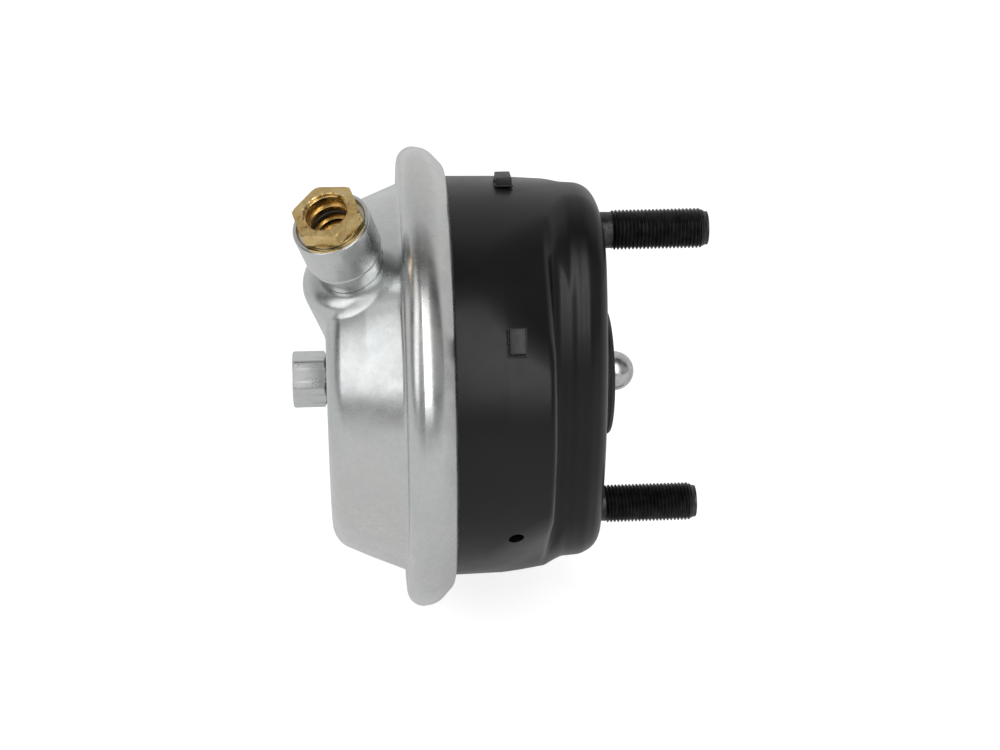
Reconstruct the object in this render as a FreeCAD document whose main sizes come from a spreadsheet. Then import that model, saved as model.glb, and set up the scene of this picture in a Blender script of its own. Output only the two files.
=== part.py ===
import FreeCAD, Part
import math
import os
import re

import Sketcher

# Disc brake air chamber, size 24, in millimetres.
# +X runs along the pushrod out of the mounting face, +Z along the line of the two studs.
# The origin is the centre of the mounting face. Every place along X is negative behind that face.

SIZES = {
    # mounting face and studs
    "stud_spacing": 120.65,
    "stud_radius": 8,
    "stud_tip": 43.6,
    "stud_tip_chamfer": 1.1,
    "stud_neck_depth": 0.7,
    "stud_shank_grip": 0.4,
    "stud_collar_length": 0.4,
    "stud_neck_length": 3,
    "stud_head_radius": 12,
    "stud_head_flat": 5.7,
    "stud_head_height": 5,
    # pressed housing
    "pot_wall": 3.2,
    "pot_mouth_radius": 80.9,
    "pot_belly_draft": 0.5,
    "pot_belly_back": 41,
    "pot_face_draft": 3.9,
    "pot_edge_round": 10,
    "pot_blend": 60,
    "pot_overrun": 5,
    "flange_front": 68.2,
    "flange_width": 7.1,
    "flange_bend": 3.5,
    "face_hole_radius": 27,
    # waist pressed into both sides of the housing
    "waist_half_width": 46.5,
    "waist_arc": 185,
    "waist_step_back": 24.5,
    "waist_step_round": 2.5,
    "waist_corner_round": 16,
    # sloping ramps at the four ends of the waist steps
    "ramp_azimuth": 44.2,
    "ramp_foot_back": 20.5,
    "ramp_foot_depth": 10.4,
    "ramp_slope": 24.6,
    # drain holes and plugs
    "drain_count": 6,
    "drain_open": 1,
    "drain_azimuth": 60,
    "drain_back": 37.9,
    "drain_hole_radius": 3,
    "plug_length": 6.4,
    "plug_width": 10,
    "plug_height": 3.5,
    "plug_flange": 0.7,
    "plug_flange_rim": 0.8,
    "plug_barb_radius": 3.35,
    "plug_barb_length": 2,
    # pressure cover with its rolled edge
    "cover_wall": 2.4,
    "cover_depth": 29.5,
    "cover_draft": 12.8,
    "cover_end_round": 6,
    "cover_foot_inset": 3.1,
    "cover_foot_round": 1.5,
    "roll_depth": 11.7,
    "roll_width": 4.4,
    "roll_back_round": 6.4,
    "roll_shoulder_run": 1.2,
    "roll_shoulder_fall": 0.7,
    "roll_shoulder_round": 10,
    "roll_tuck_run": 7.6,
    "roll_tuck_stand": 3.7,
    "roll_tuck_round": 5,
    "roll_lip_run": 8.2,
    # pressed dome under the air port
    "port_root_inset": 30.9,
    "port_azimuth": 31.5,
    "port_tilt": 15.4,
    "dome_radius": 20.8,
    "dome_inset": 7.4,
    "dome_round": 7.4,
    "dome_start": 10,
    # air port boss and connector
    "boss_radius": 15,
    "boss_length": 24.7,
    "boss_neck_radius": 12.2,
    "boss_neck_length": 3.5,
    "boss_base_radius": 13.5,
    "boss_base_length": 5.5,
    "boss_chamfer": 0.8,
    "boss_channel_radius": 5.5,
    "port_thread_radius": 8,
    "port_thread_length": 14,
    "port_hexagon": 23,
    "port_hexagon_height": 8,
    "port_hexagon_turn": 46,
    "port_mouth_radius": 8.3,
    "port_mouth_depth": 3.2,
    "ring_groove_radius": 9.2,
    "ring_groove_width": 2,
    "ring_bore_radius": 7.4,
    "ring_slot": 3,
    "seal_pocket_radius": 7.6,
    "seal_pocket_depth": 2.2,
    "port_bore_radius": 5.4,
    "thread_seal_section": 0.9,
    # hexagon in the middle of the cover
    "centre_hexagon": 19,
    "centre_height": 13.4,
    "centre_collar_radius": 10.6,
    "centre_collar_height": 2,
    "centre_spigot_radius": 6,
    "centre_chamfer": 0.9,
    # diaphragm
    "diaphragm_wall": 3,
    "diaphragm_gap": 0.4,
    "bead_overhang": 1,
    "bead_round": 3.5,
    "bead_root_inset": 0.4,
    # push plate and rod
    "plate_inset": 8,
    "plate_wall": 3,
    "plate_rim": 6,
    "plate_round": 4,
    "rod_radius": 9,
    "rod_foot_radius": 18,
    "rod_foot_height": 5,
    "rod_neck_radius": 6.2,
    "rod_neck_back": 15,
    "ball_radius": 8,
    "ball_centre": 7.9,
    # spring
    "wire_radius": 2.25,
    "spring_clearance": 0.75,
    "spring_spread": 11.5,
    "spring_turns": 6.5,
    "spring_dead_turns": 1,
    # boot and face seal
    "seat_ring_lap": 3.5,
    "seat_ring_clearance": 0.6,
    "seat_ring_wall": 3,
    "seal_clearance": 0.7,
    "seal_land": 0.4,
    "seal_front": 4.6,
    "boot_flange_front": -0.4,
    "boot_wall": 1.5,
    "boot_outer_radius": 17,
    "boot_fold": 4,
    "boot_fold_back": 15,
    "boot_bead_front": 0.6,
    "boot_bead_length": 5,
    "boot_bead_radius": 9,
    # gaps between neighbours
    "turned_gap": 0.05,
    "soft_gap": 0.3,
}

# Radii and places that follow from the sizes above, each written once.

WORKED_OUT = {
    "stud_neck_radius": "stud_radius - stud_neck_depth",
    "stud_shank_radius": "stud_radius + stud_shank_grip",
    "pot_belly_radius": "pot_mouth_radius - pot_belly_draft",
    "pot_face_radius": "pot_mouth_radius - pot_face_draft",
    "pot_slope": "(pot_belly_radius - pot_face_radius) / pot_belly_back",
    "flange_back": "flange_front + pot_wall",
    "flange_radius": "pot_mouth_radius + flange_width",
    "ramp_foot_radius": "pot_mouth_radius - ramp_foot_depth",
    "plug_seat_radius": "pot_belly_radius - (pot_belly_back - drain_back) * pot_slope",
    "roll_back": "flange_front + roll_depth",
    "roll_radius": "flange_radius + roll_width",
    "roll_shoulder_back": "flange_front - roll_shoulder_run",
    "roll_shoulder_radius": "roll_radius - roll_shoulder_fall",
    "roll_tuck_back": "flange_front - roll_tuck_run",
    "roll_tuck_radius": "pot_mouth_radius + roll_tuck_stand",
    "roll_lip_back": "flange_front - roll_lip_run",
    "roll_lip_radius": "pot_mouth_radius + 2 * turned_gap",
    "roll_inner_back": "roll_back - cover_wall",
    "roll_inner_radius": "roll_radius - cover_wall",
    "cover_end_back": "roll_back + cover_depth",
    "cover_foot_radius": "pot_mouth_radius - cover_foot_inset",
    "cover_end_radius": "cover_foot_radius - cover_draft",
    "cone_slope": "cover_draft / cover_depth",
    "port_root_back": "cover_end_back - port_root_inset",
    "dome_reach": "pot_mouth_radius - dome_inset",
    "boss_top": "dome_reach + boss_length",
    "boss_base_top": "dome_reach + boss_neck_length + boss_base_length",
    "thread_seat_radius": "port_thread_radius + turned_gap",
    "thread_seal_pocket": "thread_seat_radius + 2 * thread_seal_section",
    "port_mouth": "boss_top + port_hexagon_height",
    "ring_groove_top": "port_mouth - port_mouth_depth",
    "ring_groove_floor": "ring_groove_top - ring_groove_width",
    "seal_pocket_floor": "ring_groove_floor - seal_pocket_depth",
    "port_hexagon_reach": "port_hexagon / 2 / cos(30)",
    "bore_seal_section": "seal_pocket_depth / 2 - turned_gap",
    "centre_hexagon_reach": "centre_hexagon / 2 / cos(30)",
    "diaphragm_back": "cover_end_back - cover_wall - diaphragm_gap",
    "diaphragm_front": "diaphragm_back - diaphragm_wall",
    "web_front": "roll_inner_back - diaphragm_wall",
    "bead_radius": "flange_radius + bead_overhang",
    "bead_root_radius": "pot_mouth_radius - bead_root_inset",
    "plate_radius": "cover_end_radius - plate_inset",
    "plate_back": "diaphragm_front - soft_gap",
    "plate_front": "plate_back - plate_wall",
    "rod_neck_end": "ball_centre - sqrt(ball_radius ^ 2 - rod_neck_radius ^ 2) + turned_gap",
    "seat_ring_radius": "face_hole_radius + seat_ring_lap",
    "seat_ring_bore": "boot_outer_radius + seat_ring_clearance",
    "seal_bore": "seat_ring_bore + seal_land",
    "seal_radius": "face_hole_radius - seal_clearance",
    "boot_inner_radius": "boot_outer_radius - boot_fold",
    "boot_bead_back": "boot_bead_front - boot_bead_length",
    "spring_floor_radius": "seat_ring_radius + spring_clearance + wire_radius",
    "spring_plate_radius": "spring_floor_radius + spring_spread",
    "plug_stem_radius": "drain_hole_radius - turned_gap",
    "plug_barb_top": "plug_seat_radius - pot_wall - 3 * soft_gap",
    "plug_foot": "plug_seat_radius + turned_gap + soft_gap",
}

doc = FreeCAD.newDocument("brake_chamber")
sheet = doc.addObject("Spreadsheet::Sheet", "Sizes")
for row, (alias, size) in enumerate(SIZES.items(), start=1):
    sheet.set(f"A{row}", alias)
    sheet.set(f"B{row}", str(size))
    sheet.setAlias(f"B{row}", alias)
doc.recompute()

TOUCH = 0.01
NAME = re.compile(r"[a-z][a-z0-9_]*")


def spelled(name):
    """A name as the sheet knows it: a size as its cell, a worked out size written out."""
    word = name.group()
    if word in WORKED_OUT:
        return f"({bound(WORKED_OUT[word])})"
    return f"Sizes.{word}" if word in SIZES else word


def bound(expression):
    """The expression with every name in it read from the sheet."""
    return NAME.sub(spelled, str(expression))


def number(expression):
    """The expression's value now."""
    return float(sheet.evalExpression(bound(expression)))


def body(name):
    """A new part design body whose file takes its name."""
    new = doc.addObject("PartDesign::Body", name)
    new.Label = name
    return new


def plane_of(owner, role):
    """One of the body's own origin planes."""
    return next(f for f in owner.Origin.OriginFeatures if f.Role == role)


def tangent_arc(before, corner, after, radius):
    """Start, end and centre of the arc that rounds a corner."""
    to_before = (before - corner).normalize()
    to_after = (after - corner).normalize()
    half = to_before.getAngle(to_after) / 2
    run = radius / math.tan(half)
    middle = (to_before + to_after).normalize()
    return corner + to_before * run, corner + to_after * run, corner + middle * (radius / math.sin(half))


def outline(owner, name, corners, role="XZ_Plane", lift="0"):
    """A closed sketch through the corners, each (x, y) or (x, y, radius) as expressions."""
    sketch = owner.newObject("Sketcher::SketchObject", name)
    sketch.AttachmentSupport = [(plane_of(owner, role), "")]
    sketch.MapMode = "FlatFace"
    sketch.setExpression("AttachmentOffset.Base.z", bound(lift))
    at = [FreeCAD.Vector(number(c[0]), number(c[1]), 0) for c in corners]
    rounds = [number(c[2]) if len(c) > 2 else 0 for c in corners]
    total = len(corners)
    entry = []
    leave = []
    for i in range(total):
        if rounds[i]:
            start, end, centre = tangent_arc(at[i - 1], at[i], at[(i + 1) % total], rounds[i])
            entry.append((start, centre))
            leave.append(end)
        else:
            entry.append((at[i], None))
            leave.append(at[i])
    for i in range(total):
        sketch.addGeometry(Part.LineSegment(leave[i], entry[(i + 1) % total][0]), False)
    for i in range(total):
        line_in = (i - 1) % total
        if rounds[i]:
            round_corner(sketch, corners[i], at[i], entry[i], leave[i], rounds[i], line_in, i)
        else:
            sketch.addConstraint(Sketcher.Constraint("Coincident", line_in, 2, i, 1))
            pin(sketch, i, 1, corners[i], at[i])
    return sketch


def pin(sketch, geometry, end, corner, at):
    """Holds a point at the two expressions of a corner."""
    for axis, expression, value in (("X", corner[0], at.x), ("Y", corner[1], at.y)):
        row = sketch.addConstraint(
            Sketcher.Constraint("Distance" + axis, -1, 1, geometry, end, value)
        )
        sketch.setExpression(f"Constraints[{row}]", bound(expression))


def round_corner(sketch, corner, at, entry, end, radius, line_in, line_out):
    """Rounds a corner with a tangent arc, and holds the sharp corner as a construction point."""
    start, centre = entry
    up = FreeCAD.Vector(0, 0, 1)
    anticlockwise = (start - centre).cross(end - centre).z > 0
    first, last = (start, end) if anticlockwise else (end, start)
    angles = [math.atan2(p.y - centre.y, p.x - centre.x) for p in (first, last)]
    if angles[1] < angles[0]:
        angles[1] += 2 * math.pi
    arc = sketch.addGeometry(Part.ArcOfCircle(Part.Circle(centre, up, radius), *angles), False)
    near, far = (1, 2) if anticlockwise else (2, 1)
    point = sketch.addGeometry(Part.Point(at), True)
    sketch.addConstraint(Sketcher.Constraint("Tangent", line_in, 2, arc, near))
    sketch.addConstraint(Sketcher.Constraint("Tangent", arc, far, line_out, 1))
    sketch.addConstraint(Sketcher.Constraint("PointOnObject", point, 1, line_in))
    sketch.addConstraint(Sketcher.Constraint("PointOnObject", point, 1, line_out))
    pin(sketch, point, 1, corner, at)
    row = sketch.addConstraint(Sketcher.Constraint("Radius", arc, radius))
    sketch.setExpression(f"Constraints[{row}]", bound(corner[2]))


def turned(owner, name, corners, axis="H_Axis"):
    """A full revolution of an outline in the XZ plane, about X (H_Axis) or Z (V_Axis)."""
    profile = outline(owner, name + "_profile", corners)
    feature = owner.newObject("PartDesign::Revolution", name)
    feature.Profile = profile
    feature.ReferenceAxis = (profile, [axis])
    feature.Angle = 360
    doc.recompute()
    return feature


def pocket(owner, name, corners, role, lift, length):
    """Cuts an outline into the body, and fails loudly if it cuts nothing."""
    before = owner.Shape.Volume
    profile = outline(owner, name + "_profile", corners, role, lift)
    feature = owner.newObject("PartDesign::Pocket", name)
    feature.Profile = profile
    feature.setExpression("Length", bound(length))
    doc.recompute()
    if owner.Shape.Volume > before - 1e-3:
        raise ValueError(name + " cuts nothing")
    return feature


def place(thing, x="0", y="0", z="0", turns=()):
    """Places a thing by expressions: turns are (axis, angle), the last one applied first."""
    axes = {"x": "vector(1; 0; 0)", "y": "vector(0; 1; 0)", "z": "vector(0; 0; 1)"}
    rotations = [f"rotation({axes[axis]}; {bound(angle)})" for axis, angle in turns]
    rotation = " * ".join(rotations) or "rotation(vector(0; 0; 1); 0)"
    base = f"vector({bound(x)}; {bound(y)}; {bound(z)})"
    thing.setExpression("Placement", f"placement({base}; {rotation})")


def drill(name, radius, length, **where):
    """A round cutter along its own Z, placed by expressions."""
    cutter = doc.addObject("Part::Cylinder", name)
    cutter.setExpression("Radius", bound(radius))
    cutter.setExpression("Height", bound(length))
    place(cutter, **where)
    return cutter


def joined(name, shapes):
    """One shape from several that touch."""
    fuse = doc.addObject("Part::MultiFuse", name)
    fuse.Shapes = shapes
    doc.recompute()
    return fuse


def cut(name, base, tool):
    """The base without the tool."""
    result = doc.addObject("Part::Cut", name)
    result.Base = base
    result.Tool = tool
    result.Label = name
    doc.recompute()
    return result


PORT_TURNS = (("x", "port_azimuth"), ("y", "-port_tilt"))
FORWARD_TURNS = (("y", "90"),)
BACKWARD_TURNS = (("y", "-90"),)


def on_port(thing, out="0"):
    """Stands a thing on the air port's line, its Z pointing out of the port, so far from the line's root."""
    place(
        thing,
        x=f"-port_root_back - ({out}) * sin(port_tilt)",
        y=f"-({out}) * cos(port_tilt) * sin(port_azimuth)",
        z=f"({out}) * cos(port_tilt) * cos(port_azimuth)",
        turns=PORT_TURNS,
    )


def mill_hexagon(owner, name, across, turn, start, height, clear):
    """Mills the six flats of a hexagon on a turned body, as six side cuts."""
    for k in range(6):
        angle = f"({turn} + {60 * k + 30})"
        near = f"({across}) / 2"
        corners = []
        for out, side in ((near, "-1"), (near, "1"), (clear, "1"), (clear, "-1")):
            corners.append((
                f"({out}) * cos({angle}) - ({side}) * ({clear}) * sin({angle})",
                f"({out}) * sin({angle}) + ({side}) * ({clear}) * cos({angle})",
            ))
        pocket(owner, f"{name}_flat_{k + 1}", corners, "XY_Plane", f"({start}) + ({height})", height)


# The pressed housing is one form made twice: outside, and inset by the wall.


def pressed_form(name, inset, back_corners):
    """The housing's form, inset by a wall: turned, then waisted on both sides."""
    form = body(name)
    turned(form, name + "_pot", back_corners + [
        (f"-flange_front - ({inset})", f"pot_mouth_radius - ({inset})", f"flange_bend + ({inset})"),
        ("-pot_belly_back", f"pot_belly_radius - ({inset})", "pot_blend"),
        (f"-({inset})", f"pot_face_radius - ({inset})"),
        (f"-({inset})", "0"),
    ])
    return form


def waist_cutter(name, side, inset):
    """What the press pushes in on one side: everything outside the waist's arc."""
    block = doc.addObject("Part::Box", name + "_block")
    block.setExpression("Length", bound(f"waist_step_back + ({inset})"))
    block.setExpression("Width", bound("waist_arc"))
    block.setExpression("Height", bound("2 * flange_radius"))
    y = "-waist_arc - pot_edge_round" if side < 0 else "pot_edge_round"
    place(block, x=f"-waist_step_back - ({inset})", y=y, z="-flange_radius")
    drum = doc.addObject("Part::Cylinder", name + "_drum")
    drum.setExpression("Radius", bound(f"waist_arc - ({inset})"))
    drum.setExpression("Height", bound("2 * flange_front"))
    centre = f"({-side}) * (waist_arc - waist_half_width)"
    place(drum, x="-flange_front", y=centre, turns=FORWARD_TURNS)
    return cut(name, block, drum)


def ramp_cutter(name, side, end, inset):
    """A wedge that slopes the waist step's end back up to the pot."""
    wedge = body(name)
    run = "(cover_end_radius / 2)"
    rise = f"({run} * tan(ramp_slope))"
    drop = f"({inset}) / cos(ramp_slope)"
    corners = [
        ("-ramp_foot_back", f"ramp_foot_radius - {drop}"),
        (f"-ramp_foot_back - {run}", f"ramp_foot_radius - {drop} + {rise}"),
        (f"-ramp_foot_back - {run}", f"ramp_foot_radius + 2 * {rise}"),
        (f"-ramp_foot_back + 2 * {rise}", f"ramp_foot_radius + 2 * {rise}"),
    ]
    profile = outline(wedge, name + "_profile", corners)
    pad = wedge.newObject("PartDesign::Pad", name + "_pad")
    pad.Profile = profile
    pad.Midplane = True
    pad.setExpression("Length", bound("2 * cover_end_radius"))
    azimuth = "ramp_azimuth" if end > 0 else "180 - ramp_azimuth"
    place(wedge, turns=(("x", f"({-side}) * ({azimuth})"),))
    doc.recompute()
    return wedge


def reach(edge, steps=8):
    """An edge's lowest and highest place along X."""
    first = edge.FirstParameter
    stride = (edge.LastParameter - first) / steps
    places = [edge.valueAt(first + stride * k).x for k in range(steps + 1)]
    return min(places), max(places)


def spans(edge, low, high):
    """Whether an edge reaches from one place along X to another."""
    near, far = reach(edge)
    return abs(near - low) < TOUCH and abs(far - high) < TOUCH


def rounded(name, base, radius, wanted):
    """Rounds the edges of a shape that a test picks."""
    fillet = doc.addObject("Part::Fillet", name)
    fillet.Base = base
    size = number(radius)
    edges = enumerate(base.Shape.Edges, start=1)
    fillet.Edges = [(i, size, size) for i, edge in edges if wanted(edge)]
    doc.recompute()
    return fillet


def pressed_housing_form(name, inset, back_corners):
    """The whole pressed form, with waists and ramps, rounded as a press leaves it.

    The ramps' own edges are rounded on the outside alone, where they show.
    """
    form = pressed_form(name + "_turned", inset, back_corners)
    tools = []
    for side, side_name in ((-1, "near"), (1, "far")):
        tools.append(waist_cutter(f"{name}_{side_name}_waist", side, inset))
        for end, end_name in ((1, "upper"), (-1, "lower")):
            tools.append(ramp_cutter(f"{name}_{side_name}_{end_name}_ramp", side, end, inset))
    pressed = cut(name + "_pressed", form, joined(name + "_tools", tools))
    face = -number(inset)
    step = -number(f"waist_step_back + ({inset})")
    belly = -number("pot_belly_back")

    def is_lobe_corner(edge):
        low, high = reach(edge)
        return abs(high - face) < TOUCH and step + TOUCH < low < face - number("pot_edge_round / 2")

    def is_face_edge(edge):
        return spans(edge, face, face)

    def is_step_edge(edge):
        middle = edge.valueAt((edge.FirstParameter + edge.LastParameter) / 2)
        return spans(edge, step, step) and abs(middle.y) > number("pot_face_radius - pot_wall")

    def is_ramp_edge(edge):
        low, high = reach(edge)
        return belly < low and high < step + TOUCH and high - low > number("pot_edge_round") / 2

    corners = rounded(name + "_corners", pressed, f"waist_corner_round - ({inset})", is_lobe_corner)
    face_edge = rounded(name + "_face_edge", corners, f"pot_edge_round - ({inset})", is_face_edge)
    steps = rounded(name + "_steps", face_edge, "waist_step_round", is_step_edge)
    if number(inset) > 0:
        return steps
    return rounded(name, steps, "waist_step_round", is_ramp_edge)


outside = pressed_housing_form("housing_outside", "0", [
    ("-flange_back", "0"),
    ("-flange_back", "flange_radius"),
    ("-flange_front", "flange_radius"),
])
inside = pressed_housing_form("housing_inside", "pot_wall", [
    ("-flange_back - pot_overrun", "0"),
    ("-flange_back - pot_overrun", "flange_radius + pot_overrun"),
    ("-flange_back", "flange_radius + pot_overrun"),
])
shell = cut("housing_shell", outside, inside)

BORE_REACH = "(2 * pot_wall)"
holes = [drill(
    "face_hole", "face_hole_radius", f"2 * {BORE_REACH}", x=f"-{BORE_REACH}", turns=FORWARD_TURNS,
)]
for end, end_name in ((1, "upper"), (-1, "lower")):
    holes.append(drill(
        f"stud_hole_{end_name}", "stud_shank_radius + turned_gap", f"2 * {BORE_REACH}",
        x=f"-{BORE_REACH}", z=f"({end}) * stud_spacing / 2", turns=FORWARD_TURNS,
    ))
for k in range(SIZES["drain_count"]):
    holes.append(drill(
        f"drain_hole_{k + 1}", "drain_hole_radius", "pot_mouth_radius",
        x="-drain_back", turns=(("x", f"{k} * 360 / drain_count"),),
    ))
housing = cut("non_pressure_housing", shell, joined("housing_holes", holes))

# The pressure cover: turned sheet with a rolled edge, and a pressed dome for the air port.


def cone_radius(back, shift):
    """The radius of the cover's cone at a place behind the face, moved in by a shift."""
    return f"cover_foot_radius - (({back}) - roll_back) * cone_slope - ({shift}) * sqrt(1 + cone_slope ^ 2)"


cover_outside = body("cover_outside")
turned(cover_outside, "cover_skin", [
    ("-cover_end_back", "0"),
    ("-cover_end_back", "cover_end_radius", "cover_end_round"),
    ("-roll_back", "cover_foot_radius", "cover_foot_round"),
    ("-roll_back", "roll_radius", "roll_back_round"),
    ("-roll_shoulder_back", "roll_shoulder_radius", "roll_shoulder_round"),
    ("-roll_tuck_back", "roll_tuck_radius", "roll_tuck_round"),
    ("-roll_lip_back", "roll_lip_radius"),
    ("-roll_lip_back", "0"),
])
cover_inside = body("cover_inside")
turned(cover_inside, "cover_hollow", [
    ("-cover_end_back + cover_wall", "0"),
    ("-cover_end_back + cover_wall", cone_radius("cover_end_back - cover_wall", "cover_wall"),
     "cover_end_round - cover_wall"),
    ("-roll_inner_back", cone_radius("roll_inner_back", "cover_wall"), "cover_foot_round + cover_wall"),
    ("-roll_inner_back", "roll_inner_radius", "roll_back_round - cover_wall"),
    ("-roll_shoulder_back - cover_wall / 3", "roll_shoulder_radius - cover_wall",
     "roll_shoulder_round - cover_wall"),
    ("-roll_tuck_back - cover_wall", "roll_tuck_radius - cover_wall / 3", "roll_tuck_round - cover_wall"),
    ("-roll_lip_back - cover_wall", "roll_lip_radius"),
    ("-roll_lip_back + cover_wall", "roll_lip_radius"),
    ("-roll_lip_back + cover_wall", "0"),
])


def dome(name, inset, start):
    """The dome that is pressed out round the port's line."""
    form = body(name)
    turned(form, name + "_form", [
        ("0", start),
        (f"dome_radius - ({inset})", start),
        (f"dome_radius - ({inset})", f"dome_reach - ({inset})", f"dome_round - ({inset})"),
        ("0", f"dome_reach - ({inset})"),
    ], "V_Axis")
    on_port(form)
    doc.recompute()
    return form


cover_filled = joined("cover_filled", [cover_outside, dome("dome_outside", "0", "dome_start")])
cover_space = joined("cover_space", [cover_inside, dome("dome_inside", "cover_wall", "dome_start / 2")])
cover_shell = cut("cover_shell", cover_filled, cover_space)
boss_seat = drill("boss_seat", "boss_neck_radius + turned_gap", "boss_length")
on_port(boss_seat, "dome_reach")
port_hole = drill(
    "port_hole", "boss_channel_radius", "dome_reach + cover_wall", x="-port_root_back", turns=PORT_TURNS,
)
centre_hole = drill(
    "centre_hole", "centre_spigot_radius + turned_gap", "3 * cover_wall",
    x="-cover_end_back + 2 * cover_wall", turns=BACKWARD_TURNS,
)
cover = cut("pressure_cover", cover_shell, joined("cover_holes", [boss_seat, port_hole, centre_hole]))

# The port's boss, welded on the dome, and the brass connector screwed into it.

boss = body("port_boss")
turned(boss, "boss_turning", [
    ("boss_channel_radius", "dome_reach"),
    ("boss_neck_radius", "dome_reach"),
    ("boss_neck_radius", "dome_reach + boss_neck_length"),
    ("boss_base_radius", "dome_reach + boss_neck_length"),
    ("boss_base_radius", "boss_base_top"),
    ("boss_radius - boss_chamfer", "boss_base_top"),
    ("boss_radius", "boss_base_top + boss_chamfer"),
    ("boss_radius", "boss_top - boss_chamfer"),
    ("boss_radius - boss_chamfer", "boss_top"),
    ("thread_seal_pocket", "boss_top"),
    ("thread_seal_pocket", "boss_top - 2 * thread_seal_section"),
    ("thread_seat_radius", "boss_top - 2 * thread_seal_section"),
    ("thread_seat_radius", "boss_top - port_thread_length - pot_wall"),
    ("boss_channel_radius", "boss_top - port_thread_length - pot_wall"),
], "V_Axis")
on_port(boss)

connector = body("port_connector")
turned(connector, "connector_turning", [
    ("port_bore_radius", "boss_top - port_thread_length"),
    ("port_thread_radius - boss_chamfer", "boss_top - port_thread_length"),
    ("port_thread_radius", "boss_top - port_thread_length + boss_chamfer"),
    ("port_thread_radius", "boss_top"),
    ("port_hexagon_reach", "boss_top"),
    ("port_hexagon_reach", "port_mouth - boss_chamfer"),
    ("port_hexagon_reach - 2 * boss_chamfer", "port_mouth"),
    ("port_mouth_radius", "port_mouth"),
    ("port_mouth_radius", "ring_groove_top"),
    ("ring_groove_radius", "ring_groove_top"),
    ("ring_groove_radius", "ring_groove_floor"),
    ("seal_pocket_radius", "ring_groove_floor"),
    ("seal_pocket_radius", "seal_pocket_floor"),
    ("port_bore_radius", "seal_pocket_floor"),
], "V_Axis")
mill_hexagon(
    connector, "port_hexagon_mill", "port_hexagon", "port_hexagon_turn", "boss_top",
    "port_hexagon_height", "boss_radius",
)
on_port(connector)

snap_ring = body("connector_snap_ring")
turned(snap_ring, "snap_ring_turning", [
    ("ring_bore_radius", "ring_groove_floor + turned_gap"),
    ("ring_groove_radius - turned_gap", "ring_groove_floor + turned_gap"),
    ("ring_groove_radius - turned_gap", "ring_groove_top - turned_gap"),
    ("ring_bore_radius", "ring_groove_top - turned_gap"),
], "V_Axis")
pocket(snap_ring, "snap_ring_slot", [
    ("0", "-ring_slot / 2"),
    ("boss_radius", "-ring_slot / 2"),
    ("boss_radius", "ring_slot / 2"),
    ("0", "ring_slot / 2"),
], "XY_Plane", "ring_groove_top", "2 * ring_groove_width")
on_port(snap_ring)


def o_ring(name, middle_radius, section, middle):
    """A rubber ring of round section on the port's line."""
    ring = doc.addObject("Part::Torus", name)
    ring.Label = name
    ring.setExpression("Radius1", bound(middle_radius))
    ring.setExpression("Radius2", bound(section))
    on_port(ring, middle)
    return ring


bore_seal = o_ring(
    "connector_o_ring", "seal_pocket_radius - turned_gap - bore_seal_section", "bore_seal_section",
    "seal_pocket_floor + seal_pocket_depth / 2",
)
thread_seal = o_ring(
    "connector_seal_ring", "port_thread_radius + turned_gap + thread_seal_section",
    "thread_seal_section - turned_gap", "boss_top - thread_seal_section",
)

# The hexagon in the middle of the cover, welded through it.

centre = body("centre_plug")
turned(centre, "centre_turning", [
    ("0", "cover_end_back - cover_wall"),
    ("centre_spigot_radius", "cover_end_back - cover_wall"),
    ("centre_spigot_radius", "cover_end_back"),
    ("centre_collar_radius", "cover_end_back"),
    ("centre_collar_radius", "cover_end_back + centre_collar_height"),
    ("centre_hexagon_reach - centre_chamfer", "cover_end_back + centre_collar_height"),
    ("centre_hexagon_reach", "cover_end_back + centre_collar_height + centre_chamfer"),
    ("centre_hexagon_reach", "cover_end_back + centre_height - centre_chamfer / 2"),
    ("centre_hexagon_reach - centre_chamfer", "cover_end_back + centre_height"),
    ("0", "cover_end_back + centre_height"),
], "V_Axis")
mill_hexagon(
    centre, "centre_mill", "centre_hexagon", "30", "cover_end_back + centre_collar_height",
    "centre_height - centre_collar_height", "boss_radius",
)
place(centre, turns=BACKWARD_TURNS)

# The diaphragm lies along the cover at rest, its bead clamped between cover and housing.

SKIN_SHIFT = "(cover_wall + diaphragm_gap)"
FRONT_SHIFT = "(cover_wall + diaphragm_gap + diaphragm_wall)"

diaphragm = body("diaphragm")
turned(diaphragm, "diaphragm_moulding", [
    ("-diaphragm_back", "0"),
    ("-diaphragm_back", cone_radius("diaphragm_back", SKIN_SHIFT), "cover_end_round - cover_wall"),
    ("-roll_inner_back", cone_radius("roll_inner_back", SKIN_SHIFT), "cover_foot_round + cover_wall"),
    ("-roll_inner_back", "bead_radius", "bead_round"),
    ("-flange_back", "bead_radius"),
    ("-flange_back", "pot_mouth_radius + flange_bend"),
    ("-web_front", "bead_root_radius"),
    ("-web_front", cone_radius("web_front", FRONT_SHIFT), "cover_foot_round"),
    ("-(diaphragm_back - diaphragm_wall)", cone_radius("diaphragm_back - diaphragm_wall", FRONT_SHIFT),
     "cover_foot_round"),
    ("-(diaphragm_back - diaphragm_wall)", "0"),
])

# The push plate and the rod that is welded to it.

plate = body("push_plate")
turned(plate, "plate_pressing", [
    ("-plate_back", "0"),
    ("-plate_back", "plate_radius", "plate_round"),
    ("-plate_back + plate_rim", "plate_radius"),
    ("-plate_back + plate_rim", "plate_radius - plate_wall"),
    ("-plate_front", "plate_radius - plate_wall", "plate_round - plate_wall"),
    ("-plate_front", "0"),
])

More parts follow.
